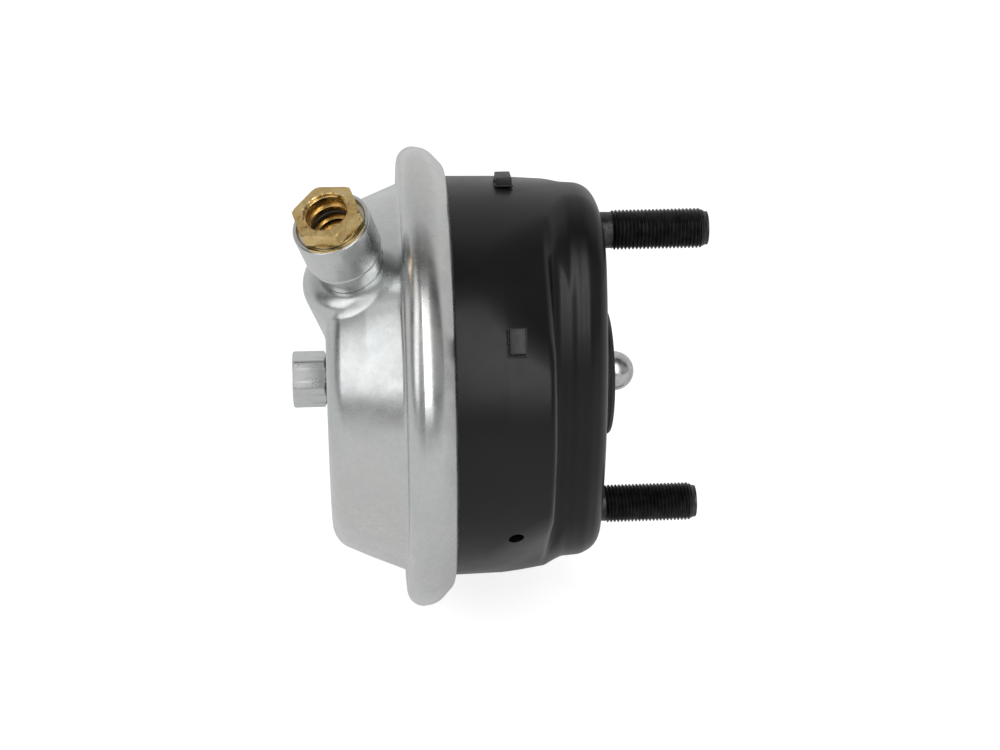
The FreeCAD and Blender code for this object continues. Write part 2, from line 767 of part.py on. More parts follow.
rod = body("pushrod")
turned(rod, "rod_turning", [
    ("-plate_front", "0"),
    ("-plate_front", "rod_foot_radius"),
    ("-plate_front + rod_foot_height", "rod_foot_radius", "boss_chamfer"),
    ("-plate_front + rod_foot_height", "rod_radius", "flange_bend"),
    ("-rod_neck_back - (rod_radius - rod_neck_radius)", "rod_radius"),
    ("-rod_neck_back", "rod_neck_radius"),
    ("rod_neck_end", "rod_neck_radius"),
    ("rod_neck_end", "0"),
])
ball = rod.newObject("PartDesign::AdditiveSphere", "rod_ball")
ball.setExpression("Radius", bound("ball_radius"))
ball.AttachmentSupport = [(plane_of(rod, "XY_Plane"), "")]
ball.MapMode = "FlatFace"
ball.setExpression("AttachmentOffset.Base.x", bound("ball_centre"))
doc.recompute()

# The ring that carries the boot and the face seal inside the housing floor.

seat_ring = body("boot_seat_ring")
turned(seat_ring, "seat_ring_turning", [
    ("-pot_wall - seat_ring_wall", "seat_ring_bore"),
    ("-pot_wall - seat_ring_wall", "seat_ring_radius", "boss_chamfer"),
    ("-pot_wall", "seat_ring_radius"),
    ("-pot_wall", "seat_ring_bore"),
])

seal = body("face_seal")
turned(seal, "seal_moulding", [
    ("boot_flange_front", "seal_bore"),
    ("boot_flange_front", "seal_radius"),
    ("seal_front", "seal_radius", "boss_chamfer"),
    ("seal_front", "seal_bore", "boss_chamfer"),
])

boot = body("dust_boot")
turned(boot, "boot_moulding", [
    ("boot_flange_front", "seal_radius - soft_gap"),
    ("boot_flange_front", "boot_outer_radius - boot_wall", "boot_wall / 2"),
    ("-boot_fold_back + boot_wall", "boot_outer_radius - boot_wall", "boot_wall / 2"),
    ("-boot_fold_back + boot_wall", "boot_inner_radius", "boot_wall / 2"),
    ("boot_bead_back + boot_wall", "boot_inner_radius", "boot_wall / 2"),
    ("boot_bead_front", "boot_bead_radius", "boot_wall / 2"),
    ("boot_bead_front", "rod_neck_radius + turned_gap"),
    ("boot_bead_back", "rod_neck_radius + turned_gap"),
    ("boot_bead_back", "boot_inner_radius - boot_wall", "boot_wall / 2"),
    ("-boot_fold_back", "boot_inner_radius - boot_wall", "boot_wall"),
    ("-boot_fold_back", "boot_outer_radius", "boot_wall"),
    ("-pot_wall", "boot_outer_radius", "boot_wall / 3"),
    ("-pot_wall", "seal_radius - soft_gap"),
])

# The studs, pressed through the floor from inside, with a flat on the head that stops them turning.

studs = []
for end, stud_name in ((1, "stud_upper"), (-1, "stud_lower")):
    stud = body(stud_name)
    turned(stud, stud_name + "_turning", [
        ("-pot_wall - stud_head_height", "0"),
        ("-pot_wall - stud_head_height", "stud_head_radius", "boss_chamfer"),
        ("-pot_wall", "stud_head_radius"),
        ("-pot_wall", "stud_shank_radius"),
        ("0", "stud_shank_radius"),
        ("0", "stud_radius"),
        ("stud_collar_length", "stud_radius"),
        ("stud_collar_length", "stud_neck_radius"),
        ("stud_neck_length", "stud_neck_radius"),
        ("stud_neck_length + stud_radius - stud_neck_radius", "stud_radius"),
        ("stud_tip - stud_tip_chamfer", "stud_radius"),
        ("stud_tip", "stud_radius - stud_tip_chamfer"),
        ("stud_tip", "0"),
    ])
    flat = f"({end}) * stud_head_flat"
    beyond = f"({end}) * 2 * stud_head_radius"
    pocket(stud, stud_name + "_flat", [
        ("-2 * stud_head_radius", flat),
        ("2 * stud_head_radius", flat),
        ("2 * stud_head_radius", beyond),
        ("-2 * stud_head_radius", beyond),
    ], "YZ_Plane", "-pot_wall", "stud_head_height")
    place(stud, z=f"({end}) * stud_spacing / 2")
    studs.append(stud)

# Plugs in all but one of the drain holes, each on the pot's wall at its hole.


def drain_plug(name, turn):
    """A moulded plug: a square head on a thin flange, a stem and a barb behind the wall."""
    plug = body(name)
    turned(plug, name + "_stem", [
        ("0", "plug_barb_top - plug_barb_length"),
        ("plug_stem_radius", "plug_barb_top - plug_barb_length"),
        ("plug_barb_radius", "plug_barb_top - plug_barb_length / 2"),
        ("plug_barb_radius", "plug_barb_top"),
        ("plug_stem_radius", "plug_barb_top"),
        ("plug_stem_radius", "plug_foot"),
        ("0", "plug_foot"),
    ], "V_Axis")
    for part_name, grow, low, high in (
        ("flange", "plug_flange_rim / 2", "plug_foot", "plug_foot + plug_flange"),
        ("head", "0", "plug_foot + plug_flange", "plug_foot + plug_height"),
    ):
        half_length = f"(plug_length / 2 + {grow})"
        half_width = f"(plug_width / 2 + {grow})"
        profile = outline(plug, f"{name}_{part_name}_profile", [
            (f"-{half_length}", f"-{half_width}", "plug_flange"),
            (half_length, f"-{half_width}", "plug_flange"),
            (half_length, half_width, "plug_flange"),
            (f"-{half_length}", half_width, "plug_flange"),
        ], "XY_Plane", low)
        pad = plug.newObject("PartDesign::Pad", f"{name}_{part_name}")
        pad.Profile = profile
        pad.setExpression("Length", bound(f"({high}) - ({low})"))
        doc.recompute()
    place(plug, x="-drain_back", turns=(("x", turn),))
    return plug


plugs = []
for k in range(SIZES["drain_count"]):
    if k == SIZES["drain_open"]:
        continue
    plugs.append(drain_plug(f"drain_plug_{len(plugs) + 1}", f"drain_azimuth + {k} * 360 / drain_count"))


# The return spring: one wire, wound on a cone, with a flat turn at each end.


def spring_path(steps_per_turn=8):
    """Points along the wire, dead turns at both ends and even pitch between."""
    low = -number("plate_front") + number("wire_radius") + SIZES["turned_gap"]
    high = -number("pot_wall") - number("wire_radius") - SIZES["turned_gap"]
    turns = number("spring_turns")
    dead = number("spring_dead_turns")
    wire = 2 * number("wire_radius") + SIZES["turned_gap"]
    rise = (high - low - 2 * dead * wire) / (turns - 2 * dead)
    points = []
    total = int(turns * steps_per_turn)
    for k in range(total + 1):
        turn = turns * k / total
        if turn < dead:
            along = low + wire * turn
        elif turn < turns - dead:
            along = low + wire * dead + rise * (turn - dead)
        else:
            along = high - wire * (turns - turn)
        share = (along - low) / (high - low)
        radius = number("spring_plate_radius") * (1 - share) + number("spring_floor_radius") * share
        angle = 2 * math.pi * turn
        points.append(FreeCAD.Vector(along, radius * math.cos(angle), radius * math.sin(angle)))
    return points


points = spring_path()
curve = Part.BSplineCurve()
curve.interpolate(points)
spine = Part.Wire([curve.toShape()])
start = points[0]
heading = points[1] - points[0]
section = Part.Wire([Part.makeCircle(number("wire_radius"), start, heading)])
spring = doc.addObject("Part::Feature", "return_spring")
spring.Shape = spine.makePipeShell([section], True, True)
spring.Label = "return_spring"
doc.recompute()

pieces = [
    cover, boss, connector, snap_ring, bore_seal, thread_seal, centre, housing, diaphragm, plate, rod,
    spring, seat_ring, seal, boot, *studs, *plugs,
]

for thing in doc.Objects:
    if "Invalid" in thing.State or "Error" in thing.State:
        raise RuntimeError(thing.Name + " failed: " + thing.getStatusString())
for piece in pieces:
    if piece.Shape.isNull() or not piece.Shape.isValid() or len(piece.Shape.Solids) != 1:
        raise RuntimeError(piece.Label + " is not one valid solid")

os.makedirs("parts", exist_ok=True)
for piece in pieces:
    piece.Shape.exportStep(f"parts/{piece.Label}.step")
    box = piece.Shape.BoundBox
    print(f"{piece.Label}: {piece.Shape.Volume:.0f} mm3, X {box.XMin:.1f} to {box.XMax:.1f}")
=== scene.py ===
"""The looks of a disc brake air chamber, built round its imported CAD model.

Shapes are worked out in millimetres, in the frame of the part: +X runs along the pushrod out of the
mounting face, +Z from that face's centre to the upper stud, and the air port leans towards -Y.
An azimuth is counted in degrees about the X axis, from +Z towards -Y.
"""

import logging
from collections.abc import Callable, Sequence
from dataclasses import dataclass, field
from enum import Enum

import bmesh
import bpy
import numpy as np
from mathutils import Matrix, Vector


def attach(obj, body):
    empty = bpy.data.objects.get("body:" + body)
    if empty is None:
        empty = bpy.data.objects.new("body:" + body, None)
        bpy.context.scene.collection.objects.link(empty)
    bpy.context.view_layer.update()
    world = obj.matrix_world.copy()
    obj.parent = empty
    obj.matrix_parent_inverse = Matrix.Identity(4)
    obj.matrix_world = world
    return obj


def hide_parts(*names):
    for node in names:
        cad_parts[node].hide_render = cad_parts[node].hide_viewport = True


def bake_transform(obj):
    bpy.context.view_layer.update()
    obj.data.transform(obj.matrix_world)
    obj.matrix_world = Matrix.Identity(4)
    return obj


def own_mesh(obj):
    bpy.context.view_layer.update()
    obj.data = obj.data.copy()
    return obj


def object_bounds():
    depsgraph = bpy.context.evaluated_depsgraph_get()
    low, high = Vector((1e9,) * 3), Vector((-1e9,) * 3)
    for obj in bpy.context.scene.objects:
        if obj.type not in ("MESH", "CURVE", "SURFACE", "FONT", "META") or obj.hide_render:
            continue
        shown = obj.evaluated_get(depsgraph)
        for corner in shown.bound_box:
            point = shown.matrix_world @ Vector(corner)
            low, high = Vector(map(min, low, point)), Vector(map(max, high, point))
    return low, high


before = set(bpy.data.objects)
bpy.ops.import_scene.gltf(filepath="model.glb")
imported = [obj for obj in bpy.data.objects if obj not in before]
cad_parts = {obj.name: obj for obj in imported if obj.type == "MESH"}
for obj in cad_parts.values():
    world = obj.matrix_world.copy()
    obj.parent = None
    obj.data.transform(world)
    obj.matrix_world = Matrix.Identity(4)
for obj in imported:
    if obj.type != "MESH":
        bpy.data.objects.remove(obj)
cad_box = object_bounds()

log = logging.getLogger("brake_chamber")

MM = 0.001
FIXED = "chamber"
MOVING = "pushrod_assembly"

# The air port's line: where it leaves the pushrod's axis, its azimuth, and how far it leans back.
PORT_BACK = 78.5
PORT_AZIMUTH = 31.5
PORT_TILT = 15.4
# The azimuths of the drain holes that hold a plug.
PLUGGED_DRAINS = (60.0, 180.0, 240.0, 300.0, 0.0)

# A turned piece closes on its axis with a ring this small, in millimetres.
PIN = 0.001
# How often a ray steps towards a skin, and which share of the distance it takes each time.
SEARCH_ROUNDS = 90
SEARCH_PACE = 0.95

Array = np.ndarray
Corner = tuple[float, ...]
Field = Callable[[Array], Array]


class Shade(Enum):
    """How a mesh is shaded: the largest angle, in degrees, that still reads as one smooth surface."""

    SOFT = 60.0
    TURNED = 32.0
    CRISP = 20.0


class Merge(Enum):
    """What tools do to a piece, by the modifier's names."""

    CUT = "DIFFERENCE"
    JOIN = "UNION"


class Slot(Enum):
    """The chamber's finishes, by the record's names."""

    ZINC_PLATE = "zinc_plate"
    ZINC_BOSS = "zinc_boss"
    BRASS = "brass"
    BLACK_PAINT = "black_paint"
    BLACK_RUBBER = "black_rubber"
    DIAPHRAGM_RUBBER = "diaphragm_rubber"
    PLAIN_STEEL = "plain_steel"
    BALL_STEEL = "ball_steel"
    SPRING_STEEL = "spring_steel"
    STUD_PHOSPHATE = "stud_phosphate"
    PLUG_PLASTIC = "plug_plastic"


@dataclass(frozen=True)
class Line:
    """A line that round things are turned about.

    Attributes:
        root: A point on the line, in millimetres.
        along: The line's direction.
        up: The direction of azimuth zero, square to the line.
    """

    root: tuple[float, float, float]
    along: tuple[float, float, float]
    up: tuple[float, float, float]

    def point(self, reach: Array, radius: Array, azimuth: Array) -> Array:
        """Points round the line.

        Args:
            reach: How far along the line each point is.
            radius: How far from the line it is.
            azimuth: Its azimuth about the line, in radians.

        Returns:
            The points, with their three coordinates in the last dimension.
        """
        along = np.array(self.along)
        up = np.array(self.up)
        side = np.cross(along, up)
        reach, radius, azimuth = np.broadcast_arrays(reach, radius, azimuth)
        return (
            np.array(self.root)
            + reach[..., None] * along
            + (radius * np.cos(azimuth))[..., None] * up
            + (radius * np.sin(azimuth))[..., None] * side
        )

    def split(self, points: Array) -> tuple[Array, Array]:
        """Measures points against the line.

        Args:
            points: The points to measure.

        Returns:
            How far along the line each lies, and how far from it.
        """
        away = points - np.array(self.root)
        reach = away @ np.array(self.along)
        radius = np.linalg.norm(away - reach[..., None] * np.array(self.along), axis=-1)
        return reach, radius


PUSHROD_LINE = Line((0.0, 0.0, 0.0), (1.0, 0.0, 0.0), (0.0, 0.0, 1.0))


def port_line(root_back: float, azimuth: float, tilt: float) -> Line:
    """The air port's line.

    Args:
        root_back: Where the line meets the pushrod's axis, behind the mounting face.
        azimuth: The side that the port points to, in degrees.
        tilt: How far it leans backwards, in degrees.

    Returns:
        The line, pointing out of the port.
    """
    turn = Matrix.Rotation(np.radians(azimuth), 3, "X") @ Matrix.Rotation(np.radians(-tilt), 3, "Y")
    along = turn @ Vector((0.0, 0.0, 1.0))
    up = turn @ Vector((1.0, 0.0, 0.0))
    return Line((-root_back, 0.0, 0.0), tuple(along), tuple(up))


def around(columns: int) -> Array:
    """Azimuths in radians, evenly spread over a full turn."""
    return np.linspace(0.0, 2.0 * np.pi, columns, endpoint=False)


def profile(corners: Sequence[Corner], steps: int = 6, longest: float = 1e9) -> Array:
    """A line through corners, some of them rounded.

    Args:
        corners: Each a place and a radius, and a rounding where it has one.
        steps: How many pieces a rounding is divided into.
        longest: The longest straight piece, in millimetres.

    Returns:
        The line's points, one row each.
    """
    at = [np.array(corner[:2], float) for corner in corners]
    path = [at[0]]
    for before, corner, here, after in zip(at, corners[1:-1], at[1:], at[2:]):
        radius = corner[2] if len(corner) > 2 else 0.0
        if radius == 0.0:
            path.append(here)
            continue
        back = (before - here) / np.linalg.norm(before - here)
        ahead = (after - here) / np.linalg.norm(after - here)
        half = np.arccos(np.clip(back @ ahead, -1.0, 1.0)) / 2.0
        centre = here + (back + ahead) / np.linalg.norm(back + ahead) * radius / np.sin(half)
        first = here + back * radius / np.tan(half) - centre
        last = here + ahead * radius / np.tan(half) - centre
        for share in np.linspace(0.0, 1.0, steps + 1):
            leg = first * (1.0 - share) + last * share
            path.append(centre + leg / np.linalg.norm(leg) * radius)
    path.append(at[-1])
    fine = [path[0]]
    for start, end in zip(path, path[1:]):
        pieces = max(1, int(np.ceil(np.linalg.norm(end - start) / longest)))
        fine.extend(start + (end - start) * k / pieces for k in range(1, pieces + 1))
    return np.array(fine)


def round_join(first: Array, second: Array, radius: Array | float) -> Array:
    """Distance to two bodies joined into one, with a rounded valley where they meet."""
    valley = np.hypot(np.maximum(radius - first, 0.0), np.maximum(radius - second, 0.0))
    return np.maximum(radius, np.minimum(first, second)) - valley


def round_meet(first: Array, second: Array, radius: Array | float) -> Array:
    """Distance to what two bodies have in common, with a rounded edge where they meet."""
    edge = np.hypot(np.maximum(radius + first, 0.0), np.maximum(radius + second, 0.0))
    return np.minimum(-radius, np.maximum(first, second)) + edge


def press_out(shape: Field, origin: Array, directions: Array, level: float, start: float) -> Array:
    """The points where rays from inside a form reach its skin.

    Args:
        shape: The form, as a distance that is negative inside.
        origin: Where every ray starts.
        directions: The rays' directions, one row of unit vectors per line of the skin.
        level: The distance that the skin is at: 0 is the outside, and minus the wall the inside.
        start: How far out each ray starts its search.

    Returns:
        The points, in the order of the directions.
    """
    away = np.full(directions.shape[:-1], start)
    for _ in range(SEARCH_ROUNDS):
        here = origin + directions * away[..., None]
        away -= (shape(here) - level) * SEARCH_PACE
    return origin + directions * away[..., None]


class Skin:
    """Grids of points, in millimetres, that together make one closed mesh."""

    def __init__(self) -> None:
        """Starts with no points."""
        self.points: list[Array] = []
        self.faces: list[Array] = []
        self.count = 0

    def add(self, grid: Array, around_too: bool = True, rows_too: bool = False) -> None:
        """Adds a grid of points as four sided faces.

        Args:
            grid: The points, by row and column.
            around_too: Whether the last column joins the first.
            rows_too: Whether the last row joins the first.
        """
        rows, columns = grid.shape[:2]
        number = np.arange(rows * columns).reshape(rows, columns) + self.count
        if around_too:
            number = np.concatenate([number, number[:, :1]], axis=1)
        if rows_too:
            number = np.concatenate([number, number[:1]], axis=0)
        self.faces.append(np.stack(
            [number[:-1, :-1], number[1:, :-1], number[1:, 1:], number[:-1, 1:]], axis=-1
        ).reshape(-1, 4))
        self.points.append(grid.reshape(-1, 3))
        self.count += rows * columns

    def turn(self, line: Line, path: Array, columns: int, closed: bool = False) -> None:
        """Adds a path of places and radii turned about a line."""
        self.add(line.point(path[:, :1], path[:, 1:], around(columns)[None, :]), rows_too=closed)

    def piece(self, name: str, shade: Shade = Shade.TURNED) -> bpy.types.Object:
        """Makes the mesh object, in metres, with its seams closed and its faces turned outwards.

        Args:
            name: The piece's name.
            shade: How it is shaded.

        Returns:
            The object, in the scene.
        """
        mesh = bpy.data.meshes.new(name)
        points = np.concatenate(self.points) * MM
        mesh.from_pydata(points.tolist(), [], np.concatenate(self.faces).tolist())
        work = bmesh.new()
        work.from_mesh(mesh)
        bmesh.ops.remove_doubles(work, verts=work.verts, dist=2.0 * PIN * MM)
        bmesh.ops.recalc_face_normals(work, faces=work.faces)
        work.to_mesh(mesh)
        work.free()
        made = bpy.data.objects.new(name, mesh)
        bpy.context.scene.collection.objects.link(made)
        smooth(made, shade)
        return made


def smooth(piece: bpy.types.Object, shade: Shade) -> None:
    """Shades a piece smooth, apart from its real edges."""
    piece.data.shade_smooth()
    piece.data.set_sharp_from_angle(angle=np.radians(shade.value))


def rod(line: Line, start: float, end: float, radius: float, columns: int = 48) -> bpy.types.Object:
    """Makes a plain round cutter along a line.

    Args:
        line: The line that it lies on.
        start: Where along the line it starts.
        end: Where it ends.
        radius: Its radius.
        columns: How many faces it has round it.

    Returns:
        The cutter.
    """
    skin = Skin()
    path = np.array([(start, 0.0), (start, radius), (end, radius), (end, 0.0)])
    skin.turn(line, path, columns)
    return skin.piece("cutter")


def combine(piece: bpy.types.Object, tools: Sequence[bpy.types.Object], how: Merge, shade: Shade) -> None:
    """Cuts tools out of a piece, or joins them to it, and removes them.

    Args:
        piece: The piece that changes.
        tools: Closed meshes.
        how: Whether they are cut out or joined on.
        shade: How the piece is shaded afterwards.
    """
    for tool in tools:
        step = piece.modifiers.new("combine", "BOOLEAN")
        step.operation = how.value
        step.solver = "EXACT"
        step.object = tool
    graph = bpy.context.evaluated_depsgraph_get()
    done = bpy.data.meshes.new_from_object(piece.evaluated_get(graph))
    piece.modifiers.clear()
    piece.data = done
    for tool in tools:
        bpy.data.objects.remove(tool)
    smooth(piece, shade)


class Bench:
    """One procedural material, node by node."""

    # Cloudy noise hardly leaves these two values.
    NOISE_SPAN = (0.3, 0.7)

    def __init__(self, name: str, roughness: float, metallic: float = 0.0) -> None:
        """Makes the material with its shader, whose plain numbers are set on its own sockets.

        Args:
            name: The material's name.
            roughness: The shader's roughness.
            metallic: One for bare metal, nought for paint and rubber.
        """
        self.material = bpy.data.materials.new(name)
        self.material.use_nodes = True
        self.tree = self.material.node_tree
        self.tree.nodes.clear()
        self.shader = self.tree.nodes.new("ShaderNodeBsdfPrincipled")
        output = self.tree.nodes.new("ShaderNodeOutputMaterial")
        self.tree.links.new(self.shader.outputs["BSDF"], output.inputs["Surface"])
        self.set("Roughness", roughness)
        self.set("Metallic", metallic)
        self.place = self.tree.nodes.new("ShaderNodeTexCoord").outputs["Object"]

    def set(self, socket: str, value: float | tuple[float, ...]) -> None:
        """Sets a plain number or colour on the shader."""
        self.shader.inputs[socket].default_value = value

    def drive(self, socket: str, source: bpy.types.NodeSocket) -> None:
        """Links a pattern to one of the shader's sockets."""
        self.tree.links.new(source, self.shader.inputs[socket])

    def noise(self, scale: float, detail: float = 4.0, roughness: float = 0.6) -> bpy.types.NodeSocket:
        """Makes cloudy noise.

        Args:
            scale: Its clouds per metre.
            detail: How many finer layers it has.
            roughness: How strong the finer layers are.

        Returns:
            The socket with the pattern.
        """
        node = self.tree.nodes.new("ShaderNodeTexNoise")
        node.inputs["Scale"].default_value = scale
        node.inputs["Detail"].default_value = detail
        node.inputs["Roughness"].default_value = roughness
        self.tree.links.new(self.place, node.inputs["Vector"])
        return node.outputs["Fac"]

    def spread(self, source: bpy.types.NodeSocket, low: float, high: float) -> bpy.types.NodeSocket:
        """Spreads noise over two values.

        Args:
            source: The noise.
            low: The value where the noise is weakest.
            high: The value where it is strongest.

        Returns:
            The socket with the new values.
        """
        node = self.tree.nodes.new("ShaderNodeMapRange")
        node.inputs["From Min"].default_value, node.inputs["From Max"].default_value = self.NOISE_SPAN
        node.inputs["To Min"].default_value = low
        node.inputs["To Max"].default_value = high
        self.tree.links.new(source, node.inputs["Value"])
        return node.outputs["Result"]

    def colours(
        self, source: bpy.types.NodeSocket, stops: Sequence[tuple[float, tuple[float, float, float]]]
    ) -> bpy.types.NodeSocket:
        """Turns a pattern into colours.

        Args:
            source: The pattern.
            stops: Each a value of the pattern and its colour.

        Returns:
            The socket with the colours.
        """
        node = self.tree.nodes.new("ShaderNodeValToRGB")
        ramp = node.color_ramp
        while len(ramp.elements) < len(stops):
            ramp.elements.new(0.5)
        for element, (share, colour) in zip(ramp.elements, stops):
            element.position = share
            element.color = (*colour, 1.0)
        self.tree.links.new(source, node.inputs["Fac"])
        return node.outputs["Color"]

    def blend(
        self, share: bpy.types.NodeSocket, first: bpy.types.NodeSocket, second: bpy.types.NodeSocket
    ) -> bpy.types.NodeSocket:
        """Mixes two colour patterns by a third pattern.

        Args:
            share: How much of the second shows.
            first: The first colours.
            second: The second colours.

        Returns:
            The socket with the mix.
        """
        node = self.tree.nodes.new("ShaderNodeMix")
        node.data_type = "RGBA"
        self.tree.links.new(share, node.inputs["Factor"])
        self.tree.links.new(first, node.inputs["A"])
        self.tree.links.new(second, node.inputs["B"])
        return node.outputs["Result"]

    def relief(self, heights: Sequence[tuple[bpy.types.NodeSocket, float]]) -> None:
        """Bumps the surface by patterns.

        Args:
            heights: Each a pattern and its depth in millimetres.
        """
        last = None
        for source, depth in heights:
            node = self.tree.nodes.new("ShaderNodeBump")
            node.inputs["Strength"].default_value = 1.0
            node.inputs["Distance"].default_value = depth * MM
            self.tree.links.new(source, node.inputs["Height"])
            if last is not None:
                self.tree.links.new(last, node.inputs["Normal"])
            last = node.outputs["Normal"]
        self.drive("Normal", last)


@dataclass(frozen=True)
class ZincPlate:
    """Bright zinc plate on pressed or turned steel: silver with a faint blue and straw play.

    Attributes:
        name: The material's name.
        roughness: The middle of its gloss range.
        orange_peel: Depth of the sheet's soft waves, in millimetres.
        grain: Depth of the plate's fine grain, in millimetres.
    """

    name: str
    roughness: float = 0.27
    orange_peel: float = 0.006
    grain: float = 0.008

    def make(self) -> bpy.types.Material:
        """Builds the material.

        Returns:
            The material.
        """
        bench = Bench(self.name, self.roughness, metallic=1.0)
        clouds = bench.noise(28.0, 5.0, 0.62)
        silver = bench.colours(clouds, (
            (0.34, (0.57, 0.59, 0.59)), (0.5, (0.60, 0.61, 0.605)), (0.66, (0.63, 0.625, 0.60)),
        ))
        dull = bench.colours(bench.noise(420.0, 3.0), (
            (0.4, (0.50, 0.515, 0.52)), (0.62, (0.60, 0.605, 0.60)),
        ))
        grain = bench.noise(1500.0, 2.0, 0.7)
        bench.drive("Base Color", bench.blend(bench.spread(grain, 0.0, 0.5), silver, dull))
        low, high = self.roughness - 0.07, self.roughness + 0.09
        bench.drive("Roughness", bench.spread(bench.noise(90.0, 6.0), low, high))
        bench.relief(((bench.noise(160.0, 3.0), self.orange_peel), (grain, self.grain)))
        return bench.material


@dataclass(frozen=True)
class SatinBlack:
    """Satin black dip paint over pressed steel, with a soft orange peel.

    Attributes:
        name: The material's name.
        roughness: The middle of its gloss range.
        gloss: How strongly the paint mirrors, where a half is common plastic.
        orange_peel: Depth of the paint's soft waves, in millimetres.
        grain: Depth of its finest grain, in millimetres.
    """

    name: str
    roughness: float = 0.33
    gloss: float = 0.32
    orange_peel: float = 0.008
    grain: float = 0.0015

    def make(self) -> bpy.types.Material:
        """Builds the material.

        Returns:
            The material.
        """
        bench = Bench(self.name, self.roughness)
        bench.set("Specular IOR Level", self.gloss)
        bench.drive("Base Color", bench.colours(bench.noise(35.0, 4.0), (
            (0.35, (0.0045, 0.0045, 0.0047)), (0.65, (0.0065, 0.0065, 0.0064)),
        )))
        low, high = self.roughness - 0.03, self.roughness + 0.05
        bench.drive("Roughness", bench.spread(bench.noise(60.0, 6.0), low, high))
        bench.relief(((bench.noise(220.0, 2.0), self.orange_peel), (bench.noise(2400.0, 1.0), self.grain)))
        return bench.material


@dataclass(frozen=True)
class TurnedBrass:
    """Turned brass with fine tool marks and darker scuffs.

    Attributes:
        name: The material's name.
        roughness: The shader's own gloss, before the tool marks.
        scuffs: Depth of the scuffs, in millimetres.
        grain: Depth of the tool marks, in millimetres.
    """

    name: str
    roughness: float = 0.28
    scuffs: float = 0.012
    grain: float = 0.004

    def make(self) -> bpy.types.Material:
        """Builds the material.

        Returns:
            The material.
        """
        bench = Bench(self.name, self.roughness, metallic=1.0)
        bright = bench.colours(bench.noise(110.0, 5.0), (
            (0.3, (0.60, 0.40, 0.15)), (0.5, (0.74, 0.55, 0.25)), (0.7, (0.80, 0.64, 0.34)),
        ))
        scuffed = bench.colours(bench.noise(700.0, 4.0), (
            (0.4, (0.36, 0.21, 0.07)), (0.6, (0.70, 0.48, 0.20)),
        ))
        share = bench.spread(bench.noise(260.0, 6.0), -0.35, 0.75)
        bench.drive("Base Color", bench.blend(share, bright, scuffed))
        bench.drive("Roughness", bench.spread(bench.noise(300.0, 5.0), 0.2, 0.38))
        bench.relief(((bench.noise(900.0, 4.0), self.scuffs), (bench.noise(3600.0, 2.0), self.grain)))
        return bench.material


@dataclass(frozen=True)
class PlainSteel:
    """Bare steel or steel with a thin conversion coat.

    Attributes:
        name: The material's name.
        dark: Colour where the surface is dullest.
        light: Colour where it is brightest.
        roughness: The middle of its gloss range.
        grain: Depth of its fine grain, in millimetres.
    """

    name: str
    dark: tuple[float, float, float]
    light: tuple[float, float, float]
    roughness: float
    grain: float = 0.006

    def make(self) -> bpy.types.Material:
        """Builds the material.

        Returns:
            The material.
        """
        bench = Bench(self.name, self.roughness, metallic=1.0)
        clouds = bench.noise(240.0, 6.0, 0.65)
        bench.drive("Base Color", bench.colours(clouds, ((0.36, self.dark), (0.64, self.light))))
        low, high = self.roughness - 0.08, self.roughness + 0.1
        bench.drive("Roughness", bench.spread(bench.noise(500.0, 4.0), low, high))
        bench.relief(((bench.noise(1800.0, 3.0), self.grain),))
        return bench.material


@dataclass(frozen=True)
class Moulded:
    """Moulded rubber or plastic, dull and faintly grained.

    Attributes:
        name: The material's name.
        dark: Colour where its cloudy noise is low.
        light: Colour where its cloudy noise is high.
        roughness: The middle of its gloss range.
        grain: Depth of its grain, in millimetres.
    """

    name: str
    dark: tuple[float, float, float]
    light: tuple[float, float, float]
    roughness: float
    grain: float = 0.01

    def make(self) -> bpy.types.Material:
        """Builds the material.

        Returns:
            The material.
        """
        bench = Bench(self.name, self.roughness)
        clouds = bench.noise(150.0, 5.0)
        bench.drive("Base Color", bench.colours(clouds, ((0.35, self.dark), (0.65, self.light))))
        low, high = self.roughness - 0.06, self.roughness + 0.08
        bench.drive("Roughness", bench.spread(bench.noise(400.0, 3.0), low, high))
        bench.relief(((bench.noise(1300.0, 4.0), self.grain),))
        return bench.material


